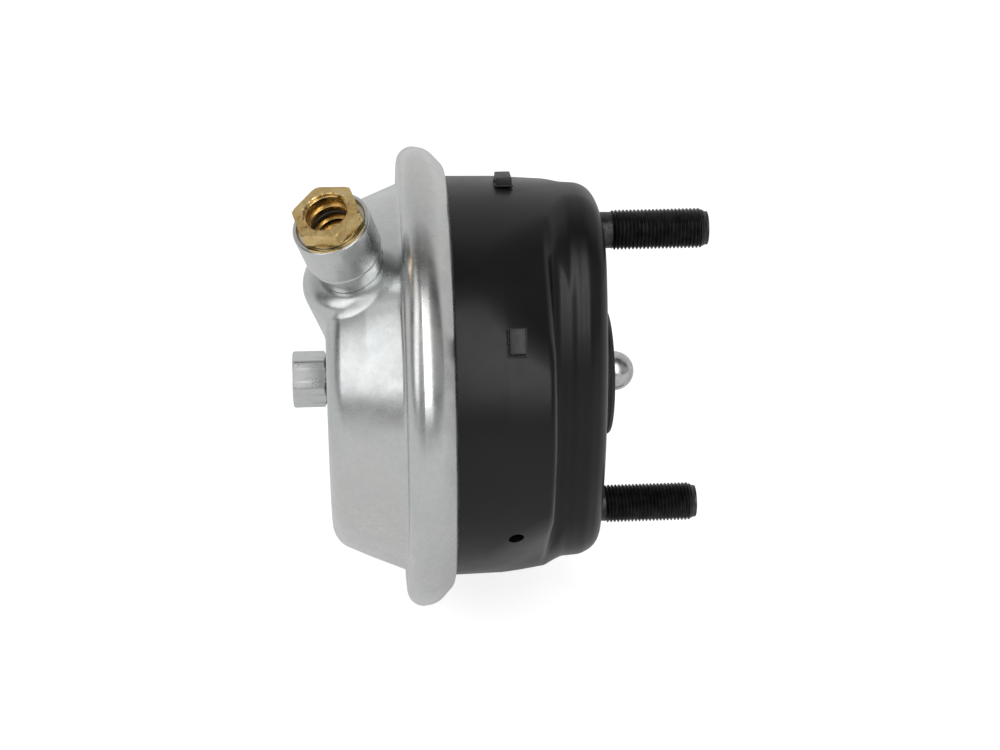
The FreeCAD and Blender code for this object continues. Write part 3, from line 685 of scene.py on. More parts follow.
@dataclass
class Paintshop:
    """Every finish of the chamber, by the record's slot names."""

    made: dict[Slot, bpy.types.Material] = field(default_factory=dict)

    def finish_of(self, slot: Slot) -> bpy.types.Material:
        """Finds the material of a slot, made the first time that it is asked for.

        Args:
            slot: The slot.

        Returns:
            Its material.
        """
        if slot not in self.made:
            self.made[slot] = self.finishes()[slot].make()
        return self.made[slot]

    @staticmethod
    def finishes() -> dict[Slot, ZincPlate | SatinBlack | TurnedBrass | PlainSteel | Moulded]:
        """The finishes, by slot."""
        grey = {
            Slot.PLAIN_STEEL: (PlainSteel, (0.30, 0.30, 0.30), (0.48, 0.48, 0.47), 0.38),
            Slot.BALL_STEEL: (PlainSteel, (0.40, 0.40, 0.40), (0.66, 0.66, 0.65), 0.27, 0.012),
            Slot.SPRING_STEEL: (PlainSteel, (0.06, 0.06, 0.065), (0.13, 0.13, 0.135), 0.4),
            Slot.STUD_PHOSPHATE: (PlainSteel, (0.04, 0.04, 0.04), (0.09, 0.09, 0.087), 0.42),
            Slot.BLACK_RUBBER: (Moulded, (0.006, 0.006, 0.006), (0.012, 0.012, 0.012), 0.5),
            Slot.DIAPHRAGM_RUBBER: (Moulded, (0.02, 0.02, 0.02), (0.04, 0.04, 0.038), 0.65, 0.03),
            Slot.PLUG_PLASTIC: (Moulded, (0.010, 0.010, 0.010), (0.02, 0.02, 0.02), 0.42),
        }
        return {
            Slot.ZINC_PLATE: ZincPlate("zinc_plate"),
            Slot.ZINC_BOSS: ZincPlate("zinc_boss", roughness=0.26, orange_peel=0.001),
            Slot.BRASS: TurnedBrass("brass"),
            Slot.BLACK_PAINT: SatinBlack("black_paint"),
            **{slot: make(slot.value, *values) for slot, (make, *values) in grey.items()},
        }

    def dress(self, piece: bpy.types.Object, slot: Slot) -> None:
        """Gives a piece the finish of a slot.

        Args:
            piece: The piece.
            slot: The record's slot that it takes its finish from.
        """
        piece.data.materials.clear()
        piece.data.materials.append(self.finish_of(slot))

    def hand_over(self, piece: bpy.types.Object, slot: Slot, node: str, body: str | None = FIXED) -> None:
        """Dresses a piece that stands for a CAD node and hands it to its body.

        Args:
            piece: The finished mesh.
            slot: The record's slot that it takes its finish from.
            node: The CAD node that it replaces.
            body: The body that it rides on, or None for a piece that is left on no body.
        """
        self.dress(piece, slot)
        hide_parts(node)
        if body is not None:
            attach(piece, body)
        log.info("%s: %d faces, stands for %s", piece.name, len(piece.data.polygons), node)

    def bend(self, piece: bpy.types.Object, slot: Slot, node: str, still_x: float, carried_x: float) -> None:
        """Hands over a soft piece on no body, with its place baked into its mesh.

        Args:
            piece: The finished mesh.
            slot: The record's slot that it takes its finish from.
            node: The CAD node that it replaces.
            still_x: Not used.
            carried_x: Not used.
        """
        self.hand_over(piece, slot, node, body=None)
        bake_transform(piece)


@dataclass
class Housing:
    """The black pressed pot, waisted on both sides behind the mounting face."""

    wall: float = 3.2
    mouth_radius: float = 80.9
    belly_radius: float = 80.4
    belly_x: float = -41.0
    face_radius: float = 77.4
    edge_round: float = 10.0
    flange_x: float = -68.2
    flange_radius: float = 88.0
    flange_bend: float = 3.5
    flange_edge: float = 0.6
    hole_radius: float = 27.0
    waist_half_width: float = 49.5
    waist_arc: float = 145.0
    crease_depth: float = 0.1
    crease_x: float = -12.6
    crease_pitch: float = 5.1
    crease_waves: float = 1.25
    step_x: float = -23.4
    step_round: float = 2.8
    step_valley: float = 5.0
    step_lead: float = 2.0
    lobe_ease: float = 12.0
    lobe_round: float = 16.0
    ramp_azimuth: float = 44.2
    ramp_slope: float = 19.0
    ramp_foot: tuple[float, float] = (-21.5, 73.2)
    ramp_front: float = 3.0
    ramp_valley: float = 3.0
    drain_x: float = -37.9
    drain_radius: float = 3.0
    drain_count: int = 6
    stud_hole_radius: float = 8.45
    stud_z: float = 60.325
    ray_x: float = -60.0
    joint_x: float = -64.0
    columns: int = 540
    fine_tilts: tuple[float, float] = (19.0, 43.0)
    outside_rows: tuple[int, int, int] = (60, 96, 40)
    inside_rows: tuple[int, int, int] = (16, 36, 16)

    def wall_radius(self, x: Array) -> Array:
        """Works out the pot's outer radius before the waists are pressed in.

        Args:
            x: Where along the part.

        Returns:
            The radius there.
        """
        mouth_slope = (self.mouth_radius - self.belly_radius) / (self.belly_x - self.flange_x)
        face_slope = (self.belly_radius - self.face_radius) / -self.belly_x
        mouth = self.belly_radius - (x - self.belly_x) * mouth_slope
        front = self.belly_radius - (x - self.belly_x) * face_slope
        return np.minimum(mouth, front)

    def ramp(self, points: Array, azimuth: float) -> Array:
        """Distance to what one ramp leaves standing.

        Args:
            points: Where to measure.
            azimuth: The side that the ramp faces, in degrees.

        Returns:
            Distances, negative where the metal stays.
        """
        turn = np.radians(azimuth)
        out = -points[..., 1] * np.sin(turn) + points[..., 2] * np.cos(turn)
        ahead = points[..., 0] - self.ramp_foot[0]
        above = out - self.ramp_foot[1]
        slope = np.radians(self.ramp_slope)
        sloping = ahead * np.sin(slope) + above * np.cos(slope)
        front = (above - ahead * self.ramp_front) / np.hypot(1.0, self.ramp_front)
        return round_join(sloping, front, self.ramp_valley)

    def form(self, points: Array) -> Array:
        """Works out the pressed form as a distance.

        Args:
            points: Where to measure.

        Returns:
            Distances, negative inside.
        """
        x = points[..., 0]
        radius = np.hypot(points[..., 1], points[..., 2])
        side = radius - self.wall_radius(x)
        crease = self.crease_depth * np.cos(2.0 * np.pi * (x - self.crease_x) / self.crease_pitch)
        from_crease = np.abs(x - self.crease_x - self.crease_pitch / 2.0)
        crease = np.where(from_crease < self.crease_pitch * self.crease_waves, crease, 0.0)
        ease = np.clip((x - self.step_x + self.step_lead) / self.lobe_ease, 0.0, 1.0)
        edge = self.step_round + (self.lobe_round - self.step_round) * ease * ease * (3.0 - 2.0 * ease)
        for hand in (1.0, -1.0):
            away = points[..., 1] * hand - (self.waist_arc - self.waist_half_width)
            waist = np.hypot(away, points[..., 2]) - self.waist_arc - crease
            side = round_meet(side, round_join(x - self.step_x, waist, self.step_valley), edge)
        for azimuth in (self.ramp_azimuth, 180.0 - self.ramp_azimuth):
            for hand in (1.0, -1.0):
                side = round_meet(side, self.ramp(points, azimuth * hand), self.step_round)
        return round_meet(side, x, self.edge_round)

    def rays(self, tilts: Array) -> Array:
        """Works out directions from the ray point.

        Args:
            tilts: How far each row leans towards the face, in radians.

        Returns:
            Unit vectors, by tilt and by azimuth.
        """
        turn = around(self.columns)[None, :]
        tilt = tilts[:, None]
        out = np.cos(tilt)
        return np.stack(np.broadcast_arrays(
            np.sin(tilt), -out * np.sin(turn), out * np.cos(turn)
        ), axis=-1)

    def tilts(self, face_x: float, back_radius: float, rows: tuple[int, int, int]) -> Array:
        """Works out the rays' tilts from the hole's rim to the mouth, closest together at the waist's step.

        Args:
            face_x: The face that the hole is in.
            back_radius: The radius that the last ray ends at.
            rows: How many rays lie before, at and behind the step.

        Returns:
            The tilts, in radians.
        """
        rim = np.arctan2(face_x - self.ray_x, self.hole_radius)
        back = np.arctan2(self.joint_x - self.ray_x, back_radius)
        fine_from, fine_to = np.radians(self.fine_tilts)
        return np.concatenate([
            np.linspace(rim, fine_to, rows[0], endpoint=False),
            np.linspace(fine_to, fine_from, rows[1], endpoint=False),
            np.linspace(fine_from, back, rows[2]),
        ])

    def mesh(self) -> bpy.types.Object:
        """Builds the pot as one closed wall, with its drain holes and stud holes.

        Returns:
            The pot.
        """
        origin = np.array((self.ray_x, 0.0, 0.0))
        start = self.waist_half_width - self.wall
        outer_back = self.wall_radius(np.array(self.joint_x))
        outer_tilts = self.tilts(0.0, outer_back, self.outside_rows)
        outside = press_out(self.form, origin, self.rays(outer_tilts), 0.0, start)
        inner_tilts = self.tilts(-self.wall, outer_back - self.wall, self.inside_rows)[::-1]
        inside = press_out(self.form, origin, self.rays(inner_tilts), -self.wall, start)
        mouth = profile([
            (self.joint_x, float(outer_back)),
            (self.flange_x, self.mouth_radius, self.flange_bend),
            (self.flange_x, self.flange_radius, self.flange_edge),
            (self.flange_x - self.wall, self.flange_radius, self.flange_edge),
            (self.flange_x - self.wall, self.mouth_radius - self.wall, self.flange_bend + self.wall),
            (self.joint_x, float(outer_back) - self.wall),
        ])[1:-1]
        flange = PUSHROD_LINE.point(mouth[:, :1], mouth[:, 1:], around(self.columns)[None, :])
        skin = Skin()
        skin.add(np.concatenate([outside, flange, inside]), rows_too=True)
        piece = skin.piece("housing_shell", Shade.SOFT)
        combine(piece, self.drills(), Merge.CUT, Shade.TURNED)
        return piece

    def drills(self) -> list[bpy.types.Object]:
        """Builds round cutters for the drain holes and the stud holes.

        Returns:
            The cutters.
        """
        tools = []
        for turn in np.radians(np.arange(self.drain_count) * 360.0 / self.drain_count):
            out = (0.0, -float(np.sin(turn)), float(np.cos(turn)))
            line = Line((self.drain_x, 0.0, 0.0), out, (1.0, 0.0, 0.0))
            root = self.mouth_radius - 3.0 * self.wall
            tools.append(rod(line, root, self.mouth_radius + self.wall, self.drain_radius))
        for height in (self.stud_z, -self.stud_z):
            line = Line((0.0, 0.0, height), (1.0, 0.0, 0.0), (0.0, 0.0, 1.0))
            tools.append(rod(line, -2.0 * self.wall, self.wall, self.stud_hole_radius))
        return tools

    def build(self, shop: Paintshop) -> None:
        """Builds and dresses the pot."""
        shop.hand_over(self.mesh(), Slot.BLACK_PAINT, "non_pressure_housing")


@dataclass
class Cover:
    """The zinc plated pressure cover with its rolled edge and the dome under the air port."""

    port: Line
    wall: float = 2.4
    end_x: float = -108.2
    end_radius: float = 65.5
    end_round: float = 5.8
    foot_x: float = -79.1
    foot_radius: float = 78.2
    foot_round: float = 3.4
    seam_x: float = -77.5
    kink_x: float = -93.0
    kink: float = 0.3
    roll_radius: float = 92.7
    roll_round: float = 6.4
    bead: tuple[float, float, float] = (-72.6, 0.05, 1.5)
    shoulder: tuple[float, float, float] = (-67.2, -0.75, 9.5)
    curl: tuple[float, float, float] = (-60.6, 84.9, 5.0)
    curl_inside: tuple[float, float, float] = (-63.2, 84.0, 2.6)
    shoulder_inside: tuple[float, float, float] = (-67.9, 89.0, 5.0)
    seam_depth: float = 0.7
    seam_lip: tuple[float, float] = (5.5, 3.0)
    seam_inside: tuple[float, float, float] = (0.6, -1.4, 3.0)
    roll_inside: float = 4.0
    joint_back: float = 1.5
    joint_inset: float = 1.0
    lip_x: float = -60.0
    lip_radius: float = 81.0
    lip_edge: float = 0.3
    dome_radius: float = 20.8
    dome_reach: float = 73.5
    dome_round: float = 7.4
    dome_foot: float = 1.3
    seat_radius: float = 12.6
    seat_edge: float = 0.4
    centre_hole: float = 6.05
    port_hole: float = 5.5
    port_azimuth: float = PORT_AZIMUTH
    ray_x: float = -84.0
    ray_start: float = 20.0
    joint_x: float = -81.6
    dome_half_angle: float = 30.0
    dome_columns: int = 300
    plain_columns: int = 420
    corner_tilts: tuple[float, float] = (40.0, 22.0)
    outside_rows: tuple[int, int, int] = (50, 70, 90)
    inside_rows: int = 80

    def cone_radius(self, x: Array) -> Array:
        """Works out the cone's outer radius, with the faint kink that the press leaves half way.

        Args:
            x: Where along the part.

        Returns:
            The radius there.
        """
        slope = (self.foot_radius - self.end_radius) / (self.foot_x - self.end_x)
        straight = self.foot_radius + (x - self.foot_x) * slope
        back = (x - self.end_x) / (self.kink_x - self.end_x)
        front = (self.foot_x - x) / (self.foot_x - self.kink_x)
        return straight + self.kink * np.clip(np.minimum(back, front), -1.0, 1.0)

    def form(self, points: Array) -> Array:
        """Works out the cover's filled form as a distance.

        Args:
            points: Where to measure.

        Returns:
            Distances, negative inside.
        """
        x = points[..., 0]
        radius = np.hypot(points[..., 1], points[..., 2])
        slope = (self.foot_radius - self.end_radius) / (self.foot_x - self.end_x)
        cone = (radius - self.cone_radius(x)) / np.hypot(1.0, slope)
        body = round_meet(cone, self.end_x - x, self.end_round)
        reach, away = self.port.split(points)
        dome = round_meet(away - self.dome_radius, reach - self.dome_reach, self.dome_round)
        return round_join(body, dome, self.dome_foot)

    def seated(self, points: Array) -> Array:
        """Works out the form with the flat that the boss stands on.

        Args:
            points: Where to measure.

        Returns:
            Distances, negative inside.
        """
        reach, away = self.port.split(points)
        flat = np.minimum(self.seat_radius - away, reach - self.dome_reach)
        return round_meet(self.form(points), flat, self.seat_edge)

    def columns(self) -> Array:
        """Works out azimuths, closest together across the dome.

        Returns:
            The azimuths, in radians.
        """
        middle = np.radians(self.port_azimuth)
        near = np.radians(self.dome_half_angle)
        fine = np.linspace(middle - near, middle + near, self.dome_columns, endpoint=False)
        rest = np.linspace(middle + near, middle - near + 2.0 * np.pi, self.plain_columns, endpoint=False)
        return np.concatenate([fine, rest])

    def rays(self, tilts: Array) -> Array:
        """Works out directions from the ray point.

        Args:
            tilts: How far each row leans towards the back, in radians.

        Returns:
            Unit vectors, by tilt and by azimuth.
        """
        turn = self.columns()[None, :]
        tilt = tilts[:, None]
        out = np.cos(tilt)
        return np.stack(np.broadcast_arrays(
            -np.sin(tilt), -out * np.sin(turn), out * np.cos(turn)
        ), axis=-1)

    def mesh(self) -> bpy.types.Object:
        """Builds the cover as one closed wall.

        Returns:
            The cover.
        """
        origin = np.array((self.ray_x, 0.0, 0.0))
        joint_radius = float(self.cone_radius(np.array(self.joint_x)))
        rim = np.arctan2(self.ray_x - self.end_x, self.centre_hole)
        foot = np.arctan2(self.ray_x - self.joint_x, joint_radius)
        first, last = np.radians(self.corner_tilts)
        outer_tilts = np.concatenate([
            np.linspace(rim, first, self.outside_rows[0], endpoint=False),
            np.linspace(first, last, self.outside_rows[1], endpoint=False),
            np.linspace(last, foot, self.outside_rows[2]),
        ])
        outside = press_out(self.seated, origin, self.rays(outer_tilts), 0.0, self.ray_start)
        inner_rim = np.arctan2(self.ray_x - self.end_x - self.wall, self.centre_hole)
        inner_foot = np.arctan2(
            self.ray_x - self.foot_x + self.joint_back, joint_radius - self.wall - self.joint_inset
        )
        inner_tilts = np.linspace(inner_foot, inner_rim, self.inside_rows)
        inside = press_out(self.seated, origin, self.rays(inner_tilts), -self.wall, self.ray_start)
        inward, drop, bend = self.seam_inside
        edge = profile([
            (self.joint_x, joint_radius),
            (self.seam_x, self.foot_radius + self.seam_depth, self.foot_round),
            (self.foot_x, self.foot_radius + self.seam_lip[0], self.seam_lip[1]),
            (self.foot_x, self.roll_radius, self.roll_round),
            *((x, self.roll_radius + rise, rounding) for x, rise, rounding in (self.bead, self.shoulder)),
            self.curl,
            (self.lip_x, self.lip_radius, self.lip_edge),
            (self.lip_x - self.wall, self.lip_radius, self.lip_edge),
            self.curl_inside,
            self.shoulder_inside,
            (self.foot_x + self.wall, self.roll_radius - self.wall, self.roll_inside),
            (self.foot_x + self.wall + inward, self.foot_radius + drop, bend),
            (self.foot_x - self.joint_back, self.foot_radius - self.wall - self.joint_inset),
        ], steps=10)[1:-1]
        roll = PUSHROD_LINE.point(edge[:, :1], edge[:, 1:], self.columns()[None, :])
        skin = Skin()
        skin.add(np.concatenate([outside, roll, inside]), rows_too=True)
        piece = skin.piece("cover_shell", Shade.SOFT)
        bore = rod(self.port, self.dome_reach - 4.0 * self.wall, self.dome_reach + self.wall, self.port_hole)
        combine(piece, [bore], Merge.CUT, Shade.TURNED)
        return piece

    def build(self, shop: Paintshop) -> None:
        """Builds and dresses the cover."""
        shop.hand_over(self.mesh(), Slot.ZINC_PLATE, "pressure_cover")


def hexagon_radius(across: float, vertex: float, azimuth: Array, corner_cut: float) -> Array:
    """The outline of a hexagon as a radius.

    Args:
        across: Its width across flats.
        vertex: The azimuth of one corner, in degrees.
        azimuth: Where to measure, in radians.
        corner_cut: How much each corner is turned off.

    Returns:
        A radius for each azimuth.
    """
    sector = np.radians(60.0)
    from_flat = np.mod(azimuth - np.radians(vertex), sector) - sector / 2.0
    sharp = across / 2.0 / np.cos(from_flat)
    return np.minimum(sharp, across / 2.0 / np.cos(sector / 2.0) - corner_cut)


def stack(line: Line, rows: Sequence[tuple[float, Array]], turn: Array) -> Array:
    """Puts rows of radii one after another along a line.

    Args:
        line: The line.
        rows: Each a place along the line and a radius for every azimuth.
        turn: The azimuths, in radians.

    Returns:
        The grid of points, by row and column.
    """
    return np.concatenate([line.point(np.full_like(turn, place), radius, turn) for place, radius in rows])


@dataclass
class AirPort:
    """The turned boss on the dome and the brass push-in connector in it."""

    line: Line
    root: float = 73.5
    boss_top: float = 98.9
    mouth: float = 105.5
    boss_radius: float = 14.7
    neck_radius: float = 12.9
    neck_top: float = 79.4
    base_radius: float = 13.8
    base_top: float = 83.0
    base_groove: float = 0.3
    groove_half: float = 0.5
    edge: float = 0.2
    rim_width: float = 1.5
    rim_depth: float = 0.5
    thread_gap: float = 0.05
    thread_relief: float = 2.0
    seal_seat: float = 1.7
    seal_gap: float = 0.3
    channel_radius: float = 5.5
    thread_radius: float = 8.0
    thread_end: float = 84.2
    seat: float = 98.2
    across_flats: float = 23.0
    vertex: float = 46.0
    corner_cut: float = 0.1
    chamfer_slope: float = 0.55
    foot_circle: float = 11.2
    mouth_circle: float = 12.5
    collar_radius: float = 11.4
    collar_height: float = 1.0
    recess_radius: float = 12.6
    mouth_radius: float = 8.5
    mouth_edge: float = 0.3
    notch_count: int = 12
    notch_turn: float = 8.0
    notch_depth: float = 1.1
    notch_height: float = 0.9
    notch_narrowness: float = 11.0
    ring_top: float = 104.4
    ring_height: float = 1.9
    ring_bore: float = 7.75
    ring_radius: float = 9.2
    ring_slot: float = 24.0
    ring_play: float = 0.05
    lead_radius: float = 8.3
    socket_radius: float = 7.9
    step_reach: float = 99.6
    step_radius: float = 7.3
    seal_reach: float = 96.6
    seal_section: float = 0.65
    seal_fill: float = 0.95
    bore_reach: float = 93.6
    land_radius: float = 6.45
    land_length: float = 3.0
    thread_lead: float = 0.8
    undercut: float = 0.5
    bore_radius: float = 5.4
    columns: int = 480
    boss_columns: int = 180
    ring_columns: int = 120
    seal_columns: int = 96

    def boss(self) -> bpy.types.Object:
        """Builds the zinc plated boss, as one turned piece with its thread bore.

        Returns:
            The boss.
        """
        wall = self.thread_radius + self.thread_gap
        groove = (self.neck_top + self.base_top) / 2.0
        path = profile([
            (self.root, self.channel_radius),
            (self.root, self.neck_radius, self.edge),
            (self.neck_top, self.neck_radius, self.edge),
            (self.neck_top, self.base_radius, 3.0 * self.edge),
            (groove - self.groove_half, self.base_radius, self.edge),
            (groove, self.base_radius - self.base_groove, self.edge),
            (groove + self.groove_half, self.base_radius, self.edge),
            (self.base_top, self.base_radius, self.edge),
            (self.base_top + 0.1, self.boss_radius, 3.0 * self.edge),
            (self.boss_top, self.boss_radius, 0.7),
            (self.boss_top, self.boss_radius - self.rim_width, 0.25),
            (self.boss_top - self.rim_depth, self.recess_radius, 0.1),
            (self.seat - self.seal_gap, self.recess_radius),
            (self.seat - self.seal_gap, wall + self.seal_seat),
            (self.seat - self.seal_seat, wall + self.seal_seat),
            (self.seat - self.seal_seat, wall),
            (self.thread_end - self.thread_relief, wall),
            (self.thread_end - self.thread_relief, self.channel_radius),
            (self.root, self.channel_radius),
        ])
        skin = Skin()
        skin.turn(self.line, path, self.boss_columns)
        return skin.piece("port_boss_turned")

    def hexagon_rows(self, turn: Array) -> list[tuple[float, Array]]:
        """Works out the hexagon's outside from its seat to its mouth, its corners turned off at both ends.

        Args:
            turn: Azimuths, in radians.

        Returns:
            Rows, each a place along the line and its radii.
        """
        reach = self.across_flats / 2.0 / np.cos(np.radians(30.0)) - self.corner_cut
        outline = hexagon_radius(self.across_flats, self.vertex, turn, self.corner_cut)
        foot = self.seat + self.collar_height
        rows = [
            (self.seat, np.full_like(turn, self.collar_radius)),
            (foot - self.edge / 2.0, np.full_like(turn, self.collar_radius)),
        ]
        for circle, start, way in ((self.foot_circle, foot, 1.0), (self.mouth_circle, self.mouth, -1.0)):
            rise = (reach - circle) * self.chamfer_slope * way
            shares = (0.0, 0.33, 0.66, 1.0)[::int(way)]
            for share in shares:
                rows.append((start + rise * share, np.minimum(outline, circle + (reach - circle) * share)))
        rows.append((self.mouth, np.minimum(outline, self.mouth_circle) - self.mouth_edge))
        return rows

    def connector(self) -> bpy.types.Object:
        """Builds the brass connector: a notched mouth, a ring groove, a stepped bore and a hexagon.

        Returns:
            The connector.
        """
        turn = around(self.columns)[None, :]
        rows = self.hexagon_rows(turn)
        notches = (turn - np.radians(self.notch_turn)) * self.notch_count / (2.0 * np.pi)
        from_notch = np.abs(np.mod(notches + 0.5, 1.0) - 0.5)
        notch = np.clip(1.0 - from_notch * self.notch_narrowness, 0.0, 1.0) * self.notch_depth
        rows.append((self.mouth, self.mouth_radius + self.mouth_edge + notch))
        for drop in (0.25, 0.6, self.notch_height):
            rows.append((self.mouth - drop, self.mouth_radius + notch * (1.0 - drop / self.notch_height)))
        low = self.ring_top - self.ring_height
        rows.extend((place, np.full_like(turn, radius)) for place, radius in profile([
            (self.ring_top + 3.0 * self.ring_play, self.mouth_radius),
            (self.ring_top + self.ring_play, self.mouth_radius),
            (self.ring_top + self.ring_play, self.ring_radius + 2.0 * self.ring_play),
            (low - self.ring_play, self.ring_radius + 2.0 * self.ring_play),
            (low - self.ring_play, self.lead_radius, 0.1),
            (self.step_reach, self.lead_radius, self.edge),
            (self.step_reach, self.step_radius, 0.25),
            (self.seal_reach + self.seal_section, self.step_radius),
            (self.seal_reach + self.seal_section, self.socket_radius),
            (self.seal_reach - self.seal_section, self.socket_radius),
            (self.seal_reach - self.seal_section, self.step_radius),
            (self.bore_reach, self.step_radius, self.edge),
            (self.bore_reach, self.land_radius, 0.25),
            (self.bore_reach - self.land_length, self.land_radius, self.edge),
            (self.bore_reach - self.land_length, self.bore_radius, self.edge),
            (self.thread_end, self.bore_radius, self.edge),
            (self.thread_end, self.thread_radius - self.thread_lead),
            (self.thread_end + self.thread_lead, self.thread_radius),
            (self.seat - 0.9, self.thread_radius),
            (self.seat - 0.6, self.thread_radius - self.undercut),
            (self.seat, self.thread_radius - self.undercut),
            (self.seat, self.across_flats / 2.0 - 1.6),
        ]))
        skin = Skin()
        skin.add(stack(self.line, rows, turn), rows_too=True)
        return skin.piece("port_connector_turned", Shade.CRISP)

    def snap_ring(self) -> bpy.types.Object:
        """Builds the split ring in the connector's mouth.

        Returns:
            The ring.
        """
        path = profile([
            (self.ring_top - self.ring_height, self.ring_bore + 0.3),
            (self.ring_top - self.ring_height, self.ring_radius),
            (self.ring_top, self.ring_radius),
            (self.ring_top, self.ring_bore, 0.35),
            (self.ring_top - self.ring_height, self.ring_bore + 0.3),
        ])
        half = np.radians(self.ring_slot) / 2.0
        turn = np.linspace(half, 2.0 * np.pi - half, self.ring_columns)[:, None] + np.radians(self.vertex)
        grid = self.line.point(path[:, 0][None, :], path[:, 1][None, :], turn)
        middle = np.broadcast_to(grid.mean(axis=1, keepdims=True), grid.shape)
        skin = Skin()
        skin.add(np.concatenate([middle[:1], grid, middle[-1:]]))
        return skin.piece("snap_ring_split", Shade.TURNED)

    def seal(self) -> bpy.types.Object:
        """Builds the rubber ring in the connector's bore.

        Returns:
            The ring.
        """
        turn = around(24)
        section = self.seal_section * self.seal_fill
        path = np.stack([
            self.seal_reach + section * np.cos(turn),
            self.socket_radius - self.seal_section + section * np.sin(turn),
        ], axis=1)
        skin = Skin()
        skin.turn(self.line, path, self.seal_columns, closed=True)
        return skin.piece("bore_seal_moulded", Shade.SOFT)

    def build(self, shop: Paintshop) -> None:
        """Builds and dresses the boss, the connector and its rings.

        Args:
            shop: Where finishes come from.
        """
        shop.hand_over(self.boss(), Slot.ZINC_BOSS, "port_boss")
        shop.hand_over(self.connector(), Slot.BRASS, "port_connector")
        shop.hand_over(self.snap_ring(), Slot.BRASS, "connector_snap_ring")
        shop.hand_over(self.seal(), Slot.BLACK_RUBBER, "connector_o_ring")
        shop.dress(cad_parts["connector_seal_ring"], Slot.BLACK_RUBBER)


@dataclass
class CentrePlug:
    """The welded hexagon in the middle of the cover, on its round collar."""

    across_flats: float = 20.4
    vertex: float = 30.0
    base: float = 108.2
    collar_radius: float = 11.0
    collar_height: float = 1.1
    height: float = 14.6
    spigot_radius: float = 6.0
    spigot_length: float = 2.4
    corner_cut: float = 0.3
    rim_height: float = 0.2
    rim_draw: float = 0.12
    foot_bevel: tuple[tuple[float, float], ...] = ((0.0, 1.5), (0.35, 1.1), (0.8, 0.0))
    rim_bevel: tuple[tuple[float, float], ...] = ((0.7, 0.0), (0.35, 0.25), (0.1, 0.6), (0.0, 1.0))
    columns: int = 240

    def mesh(self) -> bpy.types.Object:
        """Builds the plug as one closed piece.

        Returns:
            The plug.
        """
        line = Line((0.0, 0.0, 0.0), (-1.0, 0.0, 0.0), (0.0, 0.0, 1.0))
        turn = around(self.columns)[None, :]
        corner = self.across_flats / 2.0 / np.cos(np.radians(30.0)) - self.corner_cut
        outline = hexagon_radius(self.across_flats, self.vertex, turn, self.corner_cut)
        root = self.base + self.collar_height
        top = self.base + self.height
        rows = [(place, np.full_like(turn, radius)) for place, radius in profile([
            (self.base - self.spigot_length, PIN),
            (self.base - self.spigot_length, self.spigot_radius, 0.3),
            (self.base, self.spigot_radius),
            (self.base, self.collar_radius, 0.2),
            (root, self.collar_radius, 0.5),
            (root, corner - 1.6),
        ])]
        rows.extend((root + rise, np.minimum(outline, corner - inset)) for rise, inset in self.foot_bevel)
        for drop, inset in self.rim_bevel:
            draw = self.rim_draw * max(0.0, 1.0 - drop / self.rim_height)
            rows.append((top - drop, np.minimum(outline - draw, corner - inset)))
        rows.append((top, np.full_like(turn, PIN)))
        skin = Skin()
        skin.add(stack(line, rows, turn))
        return skin.piece("centre_plug_turned", Shade.CRISP)

    def build(self, shop: Paintshop) -> None:
        """Builds and dresses the plug."""
        shop.hand_over(self.mesh(), Slot.ZINC_BOSS, "centre_plug")


